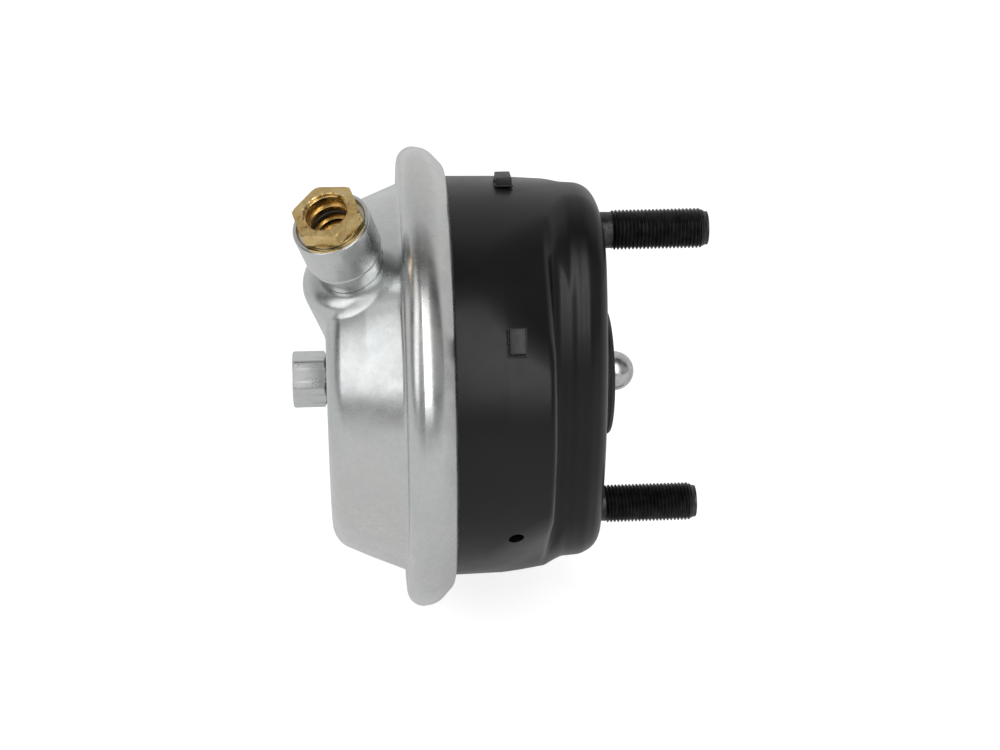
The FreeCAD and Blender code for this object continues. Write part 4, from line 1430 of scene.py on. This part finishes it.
@dataclass
class Stud:
    """A mounting stud with its rolled thread, plain neck and flatted head."""

    node: str
    hand: float
    spacing: float = 120.65
    radius: float = 8.0
    pitch: float = 1.5
    thread_depth: float = 0.92
    shank_radius: float = 8.4
    neck_radius: float = 7.3
    neck_end: float = 5.0
    tip: float = 43.6
    tip_chamfer: float = 1.9
    wall: float = 3.2
    head_radius: float = 12.0
    head_height: float = 5.0
    head_flat: float = 5.7
    columns: int = 72
    per_turn: int = 8
    run_in_slope: float = 0.9
    run_out_slope: float = 0.62
    flank_gain: float = 1.35
    crest_width: float = 0.12
    core_depth: float = 0.4

    def envelope(self, place: Array) -> Array:
        """Works out the radius that the thread's crests can't pass, at the neck and at the chamfered tip.

        Args:
            place: Where along the stud.

        Returns:
            The radius there.
        """
        run_in = self.neck_radius - 0.1 + (place - self.neck_end) * self.run_in_slope
        run_out = self.radius - self.tip_chamfer + (self.tip - place) * self.run_out_slope
        return np.minimum(np.minimum(run_in, run_out), self.radius)

    def thread(self, line: Line) -> Array:
        """Builds the thread's skin, its rows running along the helix so that crests stay sharp.

        Args:
            line: The stud's line.

        Returns:
            The grid of points.
        """
        length = self.tip - self.neck_end
        rows = int(np.ceil(length / self.pitch) + 1) * self.per_turn
        step = np.arange(-self.per_turn, rows)[:, None] / self.per_turn
        share = np.linspace(0.0, 1.0, self.columns + 1)[None, :]
        place = np.clip(self.neck_end + self.pitch * (step + share), self.neck_end, self.tip)
        wave = np.abs(np.mod(step, 1.0) - 0.5) * 2.0
        cut = np.clip(wave * self.flank_gain - self.crest_width, 0.0, 1.0) * self.thread_depth
        radius = np.minimum(self.radius - cut, self.envelope(place))
        radius = np.maximum(radius, self.radius - self.thread_depth - self.core_depth)
        return line.point(place, radius, 2.0 * np.pi * share)

    def mesh(self) -> bpy.types.Object:
        """Builds the stud as one closed piece.

        Returns:
            The stud.
        """
        line = Line((0.0, 0.0, self.hand * self.spacing / 2.0), (1.0, 0.0, 0.0), (0.0, 0.0, 1.0))
        skin = Skin()
        skin.add(self.thread(line), around_too=False)
        start = float(np.minimum(self.envelope(np.array(self.neck_end)), self.radius))
        end = float(self.envelope(np.array(self.tip)))
        body = profile([
            (-self.wall - self.head_height, PIN),
            (-self.wall - self.head_height, self.head_radius, 0.8),
            (-self.wall, self.head_radius, 0.2),
            (-self.wall, self.shank_radius),
            (0.0, self.shank_radius),
            (0.0, self.neck_radius, 0.1),
            (self.neck_end, start),
        ])
        skin.turn(line, body, self.columns)
        tip = profile([(self.tip, end), (self.tip + 0.02, end - 0.5, 0.3), (self.tip, PIN)])
        skin.turn(line, tip, self.columns)
        return skin.piece(f"{self.node}_threaded", Shade.CRISP)

    def build(self, shop: Paintshop) -> None:
        """Builds and dresses the stud, and mills the flat on its head.

        Args:
            shop: Where finishes come from.
        """
        piece = self.mesh()
        side = self.hand * (self.spacing / 2.0 + self.head_flat + self.head_radius)
        middle = -self.wall - self.head_height / 2.0
        bpy.ops.mesh.primitive_cube_add(size=1.0, location=(middle * MM, 0.0, side * MM))
        tool = bpy.context.object
        size = (self.head_height - 0.02, 4.0 * self.head_radius, 2.0 * self.head_radius)
        tool.scale = [length * MM for length in size]
        bpy.context.view_layer.update()
        combine(piece, [tool], Merge.CUT, Shade.CRISP)
        shop.hand_over(piece, Slot.STUD_PHOSPHATE, self.node)


@dataclass
class DrainPlug:
    """A moulded plug in a drain hole: a box head on a thin flange, with a nub, a stem and a barb."""

    node: str
    azimuth: float
    x: float = -37.9
    foot: float = 80.49
    length: float = 6.4
    width: float = 10.0
    height: float = 3.5
    flange: float = 0.7
    rim: float = 0.4
    stem_radius: float = 2.95
    barb_radius: float = 3.35
    barb_top: float = 76.04
    barb_length: float = 2.0
    nub: tuple[float, float, float] = (1.1, 1.4, 1.2)
    nub_rise: float = 1.0
    nub_round: float = 0.3
    head_round: float = 0.5
    head_draft: float = 0.15
    flange_round: float = 0.25

    def block(
        self, size: tuple[float, float, float], middle: float, round_by: float, taper: float = 0.0
    ) -> bpy.types.Object:
        """Builds a moulded block on the plug's line, with rounded edges and a little draft.

        Args:
            size: Along X, round the pot, and outwards.
            middle: How far out its middle is.
            round_by: The radius of its edges.
            taper: How much narrower its outer end is on each side.

        Returns:
            The block, standing at its place on the pot.
        """
        work = bmesh.new()
        bmesh.ops.create_cube(work, size=1.0)
        for corner in work.verts:
            draft = taper if corner.co.z > 0.0 else 0.0
            corner.co.x *= size[0] - 2.0 * draft
            corner.co.y *= size[1] - 2.0 * draft
            corner.co.z = corner.co.z * size[2] + middle
        bmesh.ops.bevel(work, geom=work.edges[:], offset=round_by, segments=4, profile=0.5, affect="EDGES")
        mesh = bpy.data.meshes.new("block")
        work.to_mesh(mesh)
        work.free()
        made = bpy.data.objects.new("block", mesh)
        bpy.context.scene.collection.objects.link(made)
        self.stand(made)
        return made

    def stand(self, made: bpy.types.Object) -> None:
        """Turns a block's own Z outwards at the plug's azimuth."""
        turn = Matrix.Rotation(np.radians(self.azimuth), 4, "X")
        made.data.transform(Matrix.Scale(MM, 4) @ Matrix.Translation((self.x, 0.0, 0.0)) @ turn)

    def mesh(self) -> bpy.types.Object:
        """Builds the plug as one closed piece.

        Returns:
            The plug.
        """
        turn = np.radians(self.azimuth)
        line = Line((self.x, 0.0, 0.0), (0.0, -float(np.sin(turn)), float(np.cos(turn))), (1.0, 0.0, 0.0))
        stem = Skin()
        stem.turn(line, profile([
            (self.barb_top - self.barb_length, PIN),
            (self.barb_top - self.barb_length, self.stem_radius, 0.3),
            (self.barb_top - self.barb_length / 2.0, self.barb_radius),
            (self.barb_top, self.barb_radius),
            (self.barb_top, self.stem_radius),
            (self.foot + self.flange / 2.0, self.stem_radius),
            (self.foot + self.flange / 2.0, PIN),
        ]), 48)
        piece = stem.piece(f"{self.node}_moulded")
        flange = (self.length + 2.0 * self.rim, self.width + 2.0 * self.rim, self.flange)
        head_height = self.height - self.flange / 2.0
        head = (self.length, self.width, head_height)
        nub = self.block(self.nub, self.foot + self.nub_rise, self.nub_round)
        nub.data.transform(Matrix.Translation((-self.length / 2.0 * MM, 0.0, 0.0)))
        combine(piece, [
            self.block(flange, self.foot + self.flange / 2.0, self.flange_round),
            self.block(head, self.foot + self.height - head_height / 2.0, self.head_round, self.head_draft),
            nub,
        ], Merge.JOIN, Shade.TURNED)
        return piece

    def build(self, shop: Paintshop) -> None:
        """Builds and dresses the plug."""
        shop.hand_over(self.mesh(), Slot.PLUG_PLASTIC, self.node)


@dataclass
class Pushrod:
    """The pushrod with its ball, and the plate that the diaphragm pushes on."""

    foot_x: float = -100.3
    foot_radius: float = 18.0
    foot_height: float = 5.0
    radius: float = 9.0
    neck_radius: float = 6.2
    neck_x: float = -15.0
    ball_x: float = 7.9
    ball_radius: float = 8.0

    def mesh(self) -> bpy.types.Object:
        """Builds the rod and its ball as one turned piece.

        Returns:
            The rod.
        """
        meet = np.arccos(-np.sqrt(1.0 - (self.neck_radius / self.ball_radius) ** 2))
        sweep = np.linspace(meet, 0.0, 40)
        ball = self.ball_radius * np.stack([np.cos(sweep), np.sin(sweep)], axis=1) + (self.ball_x, 0.0)
        ball[-1, 1] = PIN
        shaft = profile([
            (self.foot_x, PIN),
            (self.foot_x, self.foot_radius, 0.4),
            (self.foot_x + self.foot_height, self.foot_radius, 0.8),
            (self.foot_x + self.foot_height, self.radius, 3.5),
            (self.neck_x - self.radius + self.neck_radius, self.radius, 0.5),
            (self.neck_x, self.neck_radius, 1.0),
            (float(ball[0, 0]) - 1.0, self.neck_radius),
        ])
        skin = Skin()
        skin.turn(PUSHROD_LINE, np.concatenate([shaft, ball]), 96)
        return skin.piece("pushrod_turned", Shade.TURNED)

    def build(self, shop: Paintshop) -> None:
        """Builds and dresses the rod, and dresses the CAD plate that is welded to it."""
        shop.hand_over(self.mesh(), Slot.BALL_STEEL, "pushrod", MOVING)
        shop.dress(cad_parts["push_plate"], Slot.PLAIN_STEEL)


@dataclass
class FaceSeal:
    """The rubber ring that stands proud of the mounting face."""

    back: float = -0.4
    front: float = 5.1
    bore: float = 18.0
    radius: float = 26.3
    back_edge: float = 0.3
    lip_height: float = 2.4
    lip_groove: float = 0.35
    crown_inset: float = 1.2

    def mesh(self) -> bpy.types.Object:
        """Builds the ring with its two moulded lips.

        Returns:
            The ring.
        """
        path = profile([
            (self.back, self.bore),
            (self.back, self.radius, self.back_edge),
            (self.front - self.lip_height, self.radius, 0.2),
            (self.front - self.lip_height + 0.2, self.radius - self.lip_groove, 0.15),
            (self.front - self.lip_height + 0.8, self.radius - 0.15, self.back_edge),
            (self.front, self.radius - self.crown_inset, 1.0),
            (self.front - 0.1, self.bore + 3.5, 0.8),
            (self.front - 0.7, self.bore + 0.4, 0.5),
            (self.back, self.bore),
        ])
        skin = Skin()
        skin.turn(PUSHROD_LINE, path, 160)
        return skin.piece("face_seal_moulded", Shade.TURNED)

    def build(self, shop: Paintshop) -> None:
        """Builds and dresses the ring, and dresses the CAD ring that carries it."""
        shop.hand_over(self.mesh(), Slot.BLACK_RUBBER, "face_seal")
        shop.dress(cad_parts["boot_seat_ring"], Slot.PLAIN_STEEL)


@dataclass
class Diaphragm:
    """The rubber diaphragm, its bead in the rolled joint and its middle on the push plate."""

    middle_x: float = -106.6
    middle_radius: float = 60.9
    rim_x: float = -76.0
    rim_foot: float = 73.9
    rim_radius: float = 88.9
    bead_x: float = -71.5
    bead_width: float = 3.9
    middle_rubber: float = 3.0
    rim_rubber: float = 1.6
    bend: float = 2.0
    bead_edge: float = 0.6
    still_x: float = -75.0
    carried_x: float = -102.0

    def mesh(self) -> bpy.types.Object:
        """Builds the diaphragm as one turned piece.

        Returns:
            The diaphragm.
        """
        inner_rim = self.rim_x + self.rim_rubber
        inner_middle = self.middle_x + self.middle_rubber
        path = profile([
            (self.middle_x, PIN),
            (self.middle_x, self.middle_radius, 2.0 * self.bend),
            (self.rim_x, self.rim_foot, 1.5 * self.bend),
            (self.rim_x, self.rim_radius, 1.5 * self.bend),
            (self.bead_x, self.rim_radius, self.bead_edge),
            (self.bead_x, self.rim_radius - self.bead_width, 0.8),
            (inner_rim, self.rim_radius - self.bead_width - 4.6, 1.5),
            (inner_rim, self.rim_foot - 2.1, self.bend),
            (inner_middle, self.middle_radius - 2.0, self.bend),
            (inner_middle, PIN),
        ], steps=5, longest=2.5)
        skin = Skin()
        skin.turn(PUSHROD_LINE, path, 144)
        return skin.piece("diaphragm_moulded", Shade.SOFT)

    def build(self, shop: Paintshop) -> None:
        """Builds and dresses the diaphragm, which is left on no body."""
        shop.bend(self.mesh(), Slot.DIAPHRAGM_RUBBER, "diaphragm", self.still_x, self.carried_x)


@dataclass
class DustBoot:
    """The folded rubber boot: an outer leg on no body and an inner leg that the pushrod carries."""

    flange_front: float = -0.4
    flange_back: float = -3.3
    flange_radius: float = 25.9
    outer_radius: float = 16.9
    outer_bore: float = 15.5
    fold_back: float = -14.9
    fold_front: float = -13.5
    fold_radius: float = 14.2
    inner_radius: float = 13.1
    inner_bore: float = 11.6
    neck_back: float = -4.3
    neck_front: float = 0.5
    neck_radius: float = 9.0
    neck_bore: float = 6.25
    bend: float = 0.8
    fold_round: float = 1.4
    columns: int = 96

    def leg(self, corners: Sequence[Corner], name: str) -> bpy.types.Object:
        """Turns one leg of the boot.

        Args:
            corners: Its outline.
            name: The piece's name.

        Returns:
            The leg.
        """
        skin = Skin()
        skin.turn(PUSHROD_LINE, profile(corners, steps=5, longest=1.2), self.columns)
        return skin.piece(name, Shade.SOFT)

    def outer_leg(self) -> bpy.types.Object:
        """Builds the boot's flange and outer leg, down to the bottom of its fold.

        Returns:
            The outer leg.
        """
        return self.leg([
            (self.flange_front, self.flange_radius),
            (self.flange_front, self.outer_bore, self.bend),
            (self.fold_front, self.outer_bore, 1.0),
            (self.fold_front, self.fold_radius),
            (self.fold_back, self.fold_radius),
            (self.fold_back, self.outer_radius, self.fold_round),
            (self.flange_back, self.outer_radius, 0.5),
            (self.flange_back, self.flange_radius),
            (self.flange_front, self.flange_radius),
        ], "dust_boot_sleeve")

    def inner_leg(self) -> bpy.types.Object:
        """Builds the boot's inner leg, from the bottom of its fold to the bead on the pushrod's neck.

        Returns:
            The inner leg.
        """
        return self.leg([
            (self.fold_back, self.fold_radius),
            (self.fold_front, self.fold_radius),
            (self.fold_front, self.inner_radius, 0.9),
            (self.neck_back + 0.9, self.inner_radius, self.bend),
            (self.neck_front, self.neck_radius, 0.7),
            (self.neck_front, self.neck_bore),
            (self.neck_back, self.neck_bore),
            (self.neck_back - 0.1, self.inner_bore - 0.1, self.bend),
            (self.fold_back, self.inner_bore, self.fold_round),
            (self.fold_back, self.fold_radius),
        ], "dust_boot_cuff")

    def build(self, shop: Paintshop) -> None:
        """Builds and dresses both legs."""
        shop.bend(self.outer_leg(), Slot.BLACK_RUBBER, "dust_boot", self.flange_back, self.fold_back)
        shop.hand_over(self.inner_leg(), Slot.BLACK_RUBBER, "dust_boot", MOVING)


@dataclass
class ReturnSpring:
    """The conical return spring, with a flat turn at each end."""

    stroke: float = 57.0
    turns: float = 6.5
    dead_turns: float = 1.0
    wire_radius: float = 2.25
    plate_radius: float = 45.0
    floor_radius: float = 33.5
    back: float = -98.0
    front: float = -5.5
    coil_gap: float = 0.05
    turn_rows: int = 40
    wire_columns: int = 14

    def centre_line(self) -> Array:
        """Works out the wire's centre line.

        Returns:
            Its points, one row each.
        """
        turn = self.turns * np.linspace(0.0, 1.0, int(self.turns * self.turn_rows))
        wire = 2.0 * self.wire_radius + self.coil_gap
        live = self.front - self.back - 2.0 * self.dead_turns * wire
        rise = live / (self.turns - 2.0 * self.dead_turns)
        from_end = self.turns - turn
        place = np.where(
            turn < self.dead_turns,
            self.back + wire * turn,
            self.back + wire * self.dead_turns + rise * (turn - self.dead_turns),
        )
        place = np.where(from_end < self.dead_turns, self.front - wire * from_end, place)
        along = (place - self.back) / (self.front - self.back)
        radius = self.plate_radius + (self.floor_radius - self.plate_radius) * along
        azimuth = 2.0 * np.pi * turn
        return np.stack([place, radius * np.cos(azimuth), radius * np.sin(azimuth)], axis=1)

    def mesh(self) -> bpy.types.Object:
        """Builds the spring as one closed piece.

        Returns:
            The spring.
        """
        path = self.centre_line()
        heading = np.gradient(path, axis=0)
        heading /= np.linalg.norm(heading, axis=1)[:, None]
        side = np.cross(heading, (1.0, 0.0, 0.0))
        side /= np.linalg.norm(side, axis=1)[:, None]
        over = np.cross(heading, side)
        section = around(self.wire_columns)[None, :, None]
        wire = self.wire_radius * (np.cos(section) * side[:, None] + np.sin(section) * over[:, None])
        first, last = (np.repeat(end[:, None], self.wire_columns, axis=1) for end in (path[:1], path[-1:]))
        skin = Skin()
        skin.add(np.concatenate([first, path[:, None] + wire, last]))
        return skin.piece("return_spring_wound", Shade.SOFT)

    def build(self, shop: Paintshop) -> None:
        """Builds and dresses the spring, which stays on the fixed body with a mesh of its own.

        Args:
            shop: Where finishes come from.
        """
        spring = self.mesh()
        shop.hand_over(spring, Slot.SPRING_STEEL, "return_spring")
        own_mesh(spring)


@dataclass(frozen=True)
class Panel:
    """A soft rectangular lamp.

    Attributes:
        name: The lamp's name.
        side: How far to the right of the front it stands, in degrees.
        height: How high it stands, in degrees.
        size: Its width and height in metres.
        level: How bright its face is, where one is white.
        distance: How far from the part's middle it stands, in metres.
    """

    name: str
    side: float
    height: float
    size: tuple[float, float]
    level: float
    distance: float = 1.3


@dataclass
class Studio:
    """A pale floor, soft light and the camera of the photograph."""

    camera_at: tuple[float, float, float] = (-0.09367, -0.70702, 0.28606)
    camera_right: tuple[float, float, float] = (0.997, -0.0768, 0.001)
    camera_back: tuple[float, float, float] = (-0.0716, -0.9244, 0.3747)
    lens: float = 67.52
    sensor: float = 36.0
    clip: tuple[float, float] = (0.01, 50.0)
    floor_gap: float = 0.001
    floor_reach: float = 12.0
    floor_greys: tuple[float, float] = (0.55, 0.57)
    floor_glow: float = 0.8
    floor_mirrored: float = 0.5
    floor_fade: tuple[float, float] = (-0.62, -0.4)
    panels: tuple[Panel, ...] = (
        Panel("front_panel", 13.0, 32.0, (0.42, 1.3), 3.2),
        Panel("left_panel", -48.0, 32.0, (0.6, 1.3), 1.3),
    )
    sky: tuple[tuple[float, float], ...] = (
        (-180.0, 0.8), (-3.0, 0.22), (6.0, 0.22), (14.0, 0.45), (48.0, 0.42), (60.0, 0.2),
        (70.0, 0.08), (86.0, 0.1), (97.0, 0.42), (106.0, 0.66), (180.0, 0.8),
    )

    def camera(self) -> None:
        """Places the camera where the photograph's was."""
        data = bpy.data.cameras.new("camera")
        data.lens = self.lens
        data.sensor_width = self.sensor
        data.clip_start, data.clip_end = self.clip
        back = Vector(self.camera_back).normalized()
        right = Vector(self.camera_right)
        right = (right - back * right.dot(back)).normalized()
        up = back.cross(right)
        turn = Matrix((right, up, back)).transposed().to_4x4()
        made = bpy.data.objects.new("camera", data)
        made.matrix_world = Matrix.Translation(self.camera_at) @ turn
        bpy.context.scene.collection.objects.link(made)
        bpy.context.scene.camera = made

    def floor(self) -> None:
        """Lays the pale floor just under the part: it keeps the shadow, and reads as white."""
        low = cad_box[0].z - self.floor_gap
        mesh = bpy.data.meshes.new("floor")
        sides = ((-1.0, -1.0), (1.0, -1.0), (1.0, 1.0), (-1.0, 1.0))
        corners = [(across * self.floor_reach, away * self.floor_reach, low) for across, away in sides]
        mesh.from_pydata(corners, [], [(0, 1, 2, 3)])
        made = bpy.data.objects.new("floor", mesh)
        bpy.context.scene.collection.objects.link(made)
        bench = Bench("pale_floor", 0.9)
        dark, light = self.floor_greys
        stops = ((0.4, (dark, dark, dark)), (0.6, (light, light, light)))
        bench.drive("Base Color", bench.colours(bench.noise(3.0, 2.0), stops))
        bench.set("Specular IOR Level", 0.0)
        bench.set("Emission Color", (1.0, 1.0, 1.0, 1.0))
        rays = bench.tree.nodes.new("ShaderNodeLightPath")
        split = bench.tree.nodes.new("ShaderNodeSeparateXYZ")
        bench.tree.links.new(bench.place, split.inputs["Vector"])
        near = bench.tree.nodes.new("ShaderNodeMapRange")
        near.inputs["From Min"].default_value, near.inputs["From Max"].default_value = self.floor_fade
        near.inputs["To Max"].default_value = self.floor_mirrored
        bench.tree.links.new(split.outputs["Y"], near.inputs["Value"])
        glossy, clear = rays.outputs["Is Glossy Ray"], rays.outputs["Is Transmission Ray"]
        mirrored = self.math(bench.tree, "ADD", glossy, clear)
        mirrored = self.math(bench.tree, "MULTIPLY", mirrored, near.outputs["Result"])
        seen = self.math(bench.tree, "ADD", rays.outputs["Is Camera Ray"], mirrored)
        bench.drive("Emission Strength", self.math(bench.tree, "MULTIPLY", seen, self.floor_glow))
        made.data.materials.append(bench.material)

    @staticmethod
    def math(
        tree: bpy.types.NodeTree, how: str, first: bpy.types.NodeSocket, second: bpy.types.NodeSocket | float
    ) -> bpy.types.NodeSocket:
        """Adds a sum of two sockets, or of a socket and a number.

        Args:
            tree: The node tree that it goes into.
            how: The operation's name.
            first: The first socket.
            second: The second socket or a number.

        Returns:
            The socket with the outcome.
        """
        node = tree.nodes.new("ShaderNodeMath")
        node.operation = how
        tree.links.new(first, node.inputs[0])
        if isinstance(second, float):
            node.inputs[1].default_value = second
        else:
            tree.links.new(second, node.inputs[1])
        return node.outputs["Value"]

    def world(self) -> None:
        """A soft room whose brightness goes by height, from the front horizon over the top to the back."""
        world = bpy.data.worlds.new("studio")
        world.use_nodes = True
        tree = world.node_tree
        tree.nodes.clear()
        output = tree.nodes.new("ShaderNodeOutputWorld")
        background = tree.nodes.new("ShaderNodeBackground")
        ramp = tree.nodes.new("ShaderNodeValToRGB")
        split = tree.nodes.new("ShaderNodeSeparateXYZ")
        place = tree.nodes.new("ShaderNodeTexCoord")
        lift = tree.nodes.new("ShaderNodeMapRange")
        lift.inputs["From Min"].default_value = -np.pi
        lift.inputs["From Max"].default_value = np.pi
        while len(ramp.color_ramp.elements) < len(self.sky):
            ramp.color_ramp.elements.new(0.5)
        for element, (height, level) in zip(ramp.color_ramp.elements, self.sky):
            element.position = (height + 180.0) / 360.0
            element.color = (level, level, level, 1.0)
        tree.links.new(place.outputs["Generated"], split.inputs["Vector"])
        forward = self.math(tree, "MULTIPLY", split.outputs["Y"], -1.0)
        tree.links.new(self.math(tree, "ARCTAN2", split.outputs["Z"], forward), lift.inputs["Value"])
        tree.links.new(lift.outputs["Result"], ramp.inputs["Fac"])
        rays = tree.nodes.new("ShaderNodeLightPath")
        seen = self.math(tree, "MAXIMUM", ramp.outputs["Color"], rays.outputs["Is Camera Ray"])
        tree.links.new(seen, background.inputs["Color"])
        tree.links.new(background.outputs["Background"], output.inputs["Surface"])
        bpy.context.scene.world = world

    def panel(self, lamp: Panel) -> None:
        """Sets up one lamp, which looks at the part's middle.

        Args:
            lamp: The lamp.
        """
        data = bpy.data.lights.new(lamp.name, "AREA")
        data.shape = "RECTANGLE"
        data.size, data.size_y = lamp.size
        data.energy = lamp.level * np.pi * lamp.size[0] * lamp.size[1]
        made = bpy.data.objects.new(lamp.name, data)
        middle = (cad_box[0] + cad_box[1]) / 2.0
        round_z = Matrix.Rotation(np.radians(lamp.side), 3, "Z")
        up = Matrix.Rotation(np.radians(-lamp.height), 3, "X")
        away = round_z @ up @ Vector((0.0, -lamp.distance, 0.0))
        made.location = middle + away
        made.rotation_mode = "QUATERNION"
        made.rotation_quaternion = (-away).to_track_quat("-Z", "Y")
        bpy.context.scene.collection.objects.link(made)

    def build(self) -> None:
        """Builds the whole studio."""
        scene = bpy.context.scene
        scene.view_settings.view_transform = "Standard"
        self.world()
        self.floor()
        self.camera()
        for lamp in self.panels:
            self.panel(lamp)


def main() -> None:
    """Builds every sub-assembly in order, then the studio."""
    logging.basicConfig(level=logging.INFO, format="%(name)s: %(message)s")
    shop = Paintshop()
    port = port_line(PORT_BACK, PORT_AZIMUTH, PORT_TILT)
    plugs = [DrainPlug(f"drain_plug_{number}", turn) for number, turn in enumerate(PLUGGED_DRAINS, start=1)]
    assemblies = [
        Housing(), Cover(port), AirPort(port), CentrePlug(),
        Stud("stud_upper", 1.0), Stud("stud_lower", -1.0), *plugs,
        Pushrod(), FaceSeal(), Diaphragm(), DustBoot(), ReturnSpring(),
    ]
    for assembly in assemblies:
        assembly.build(shop)
    Studio().build()


if __name__ == "__main__":
    main()
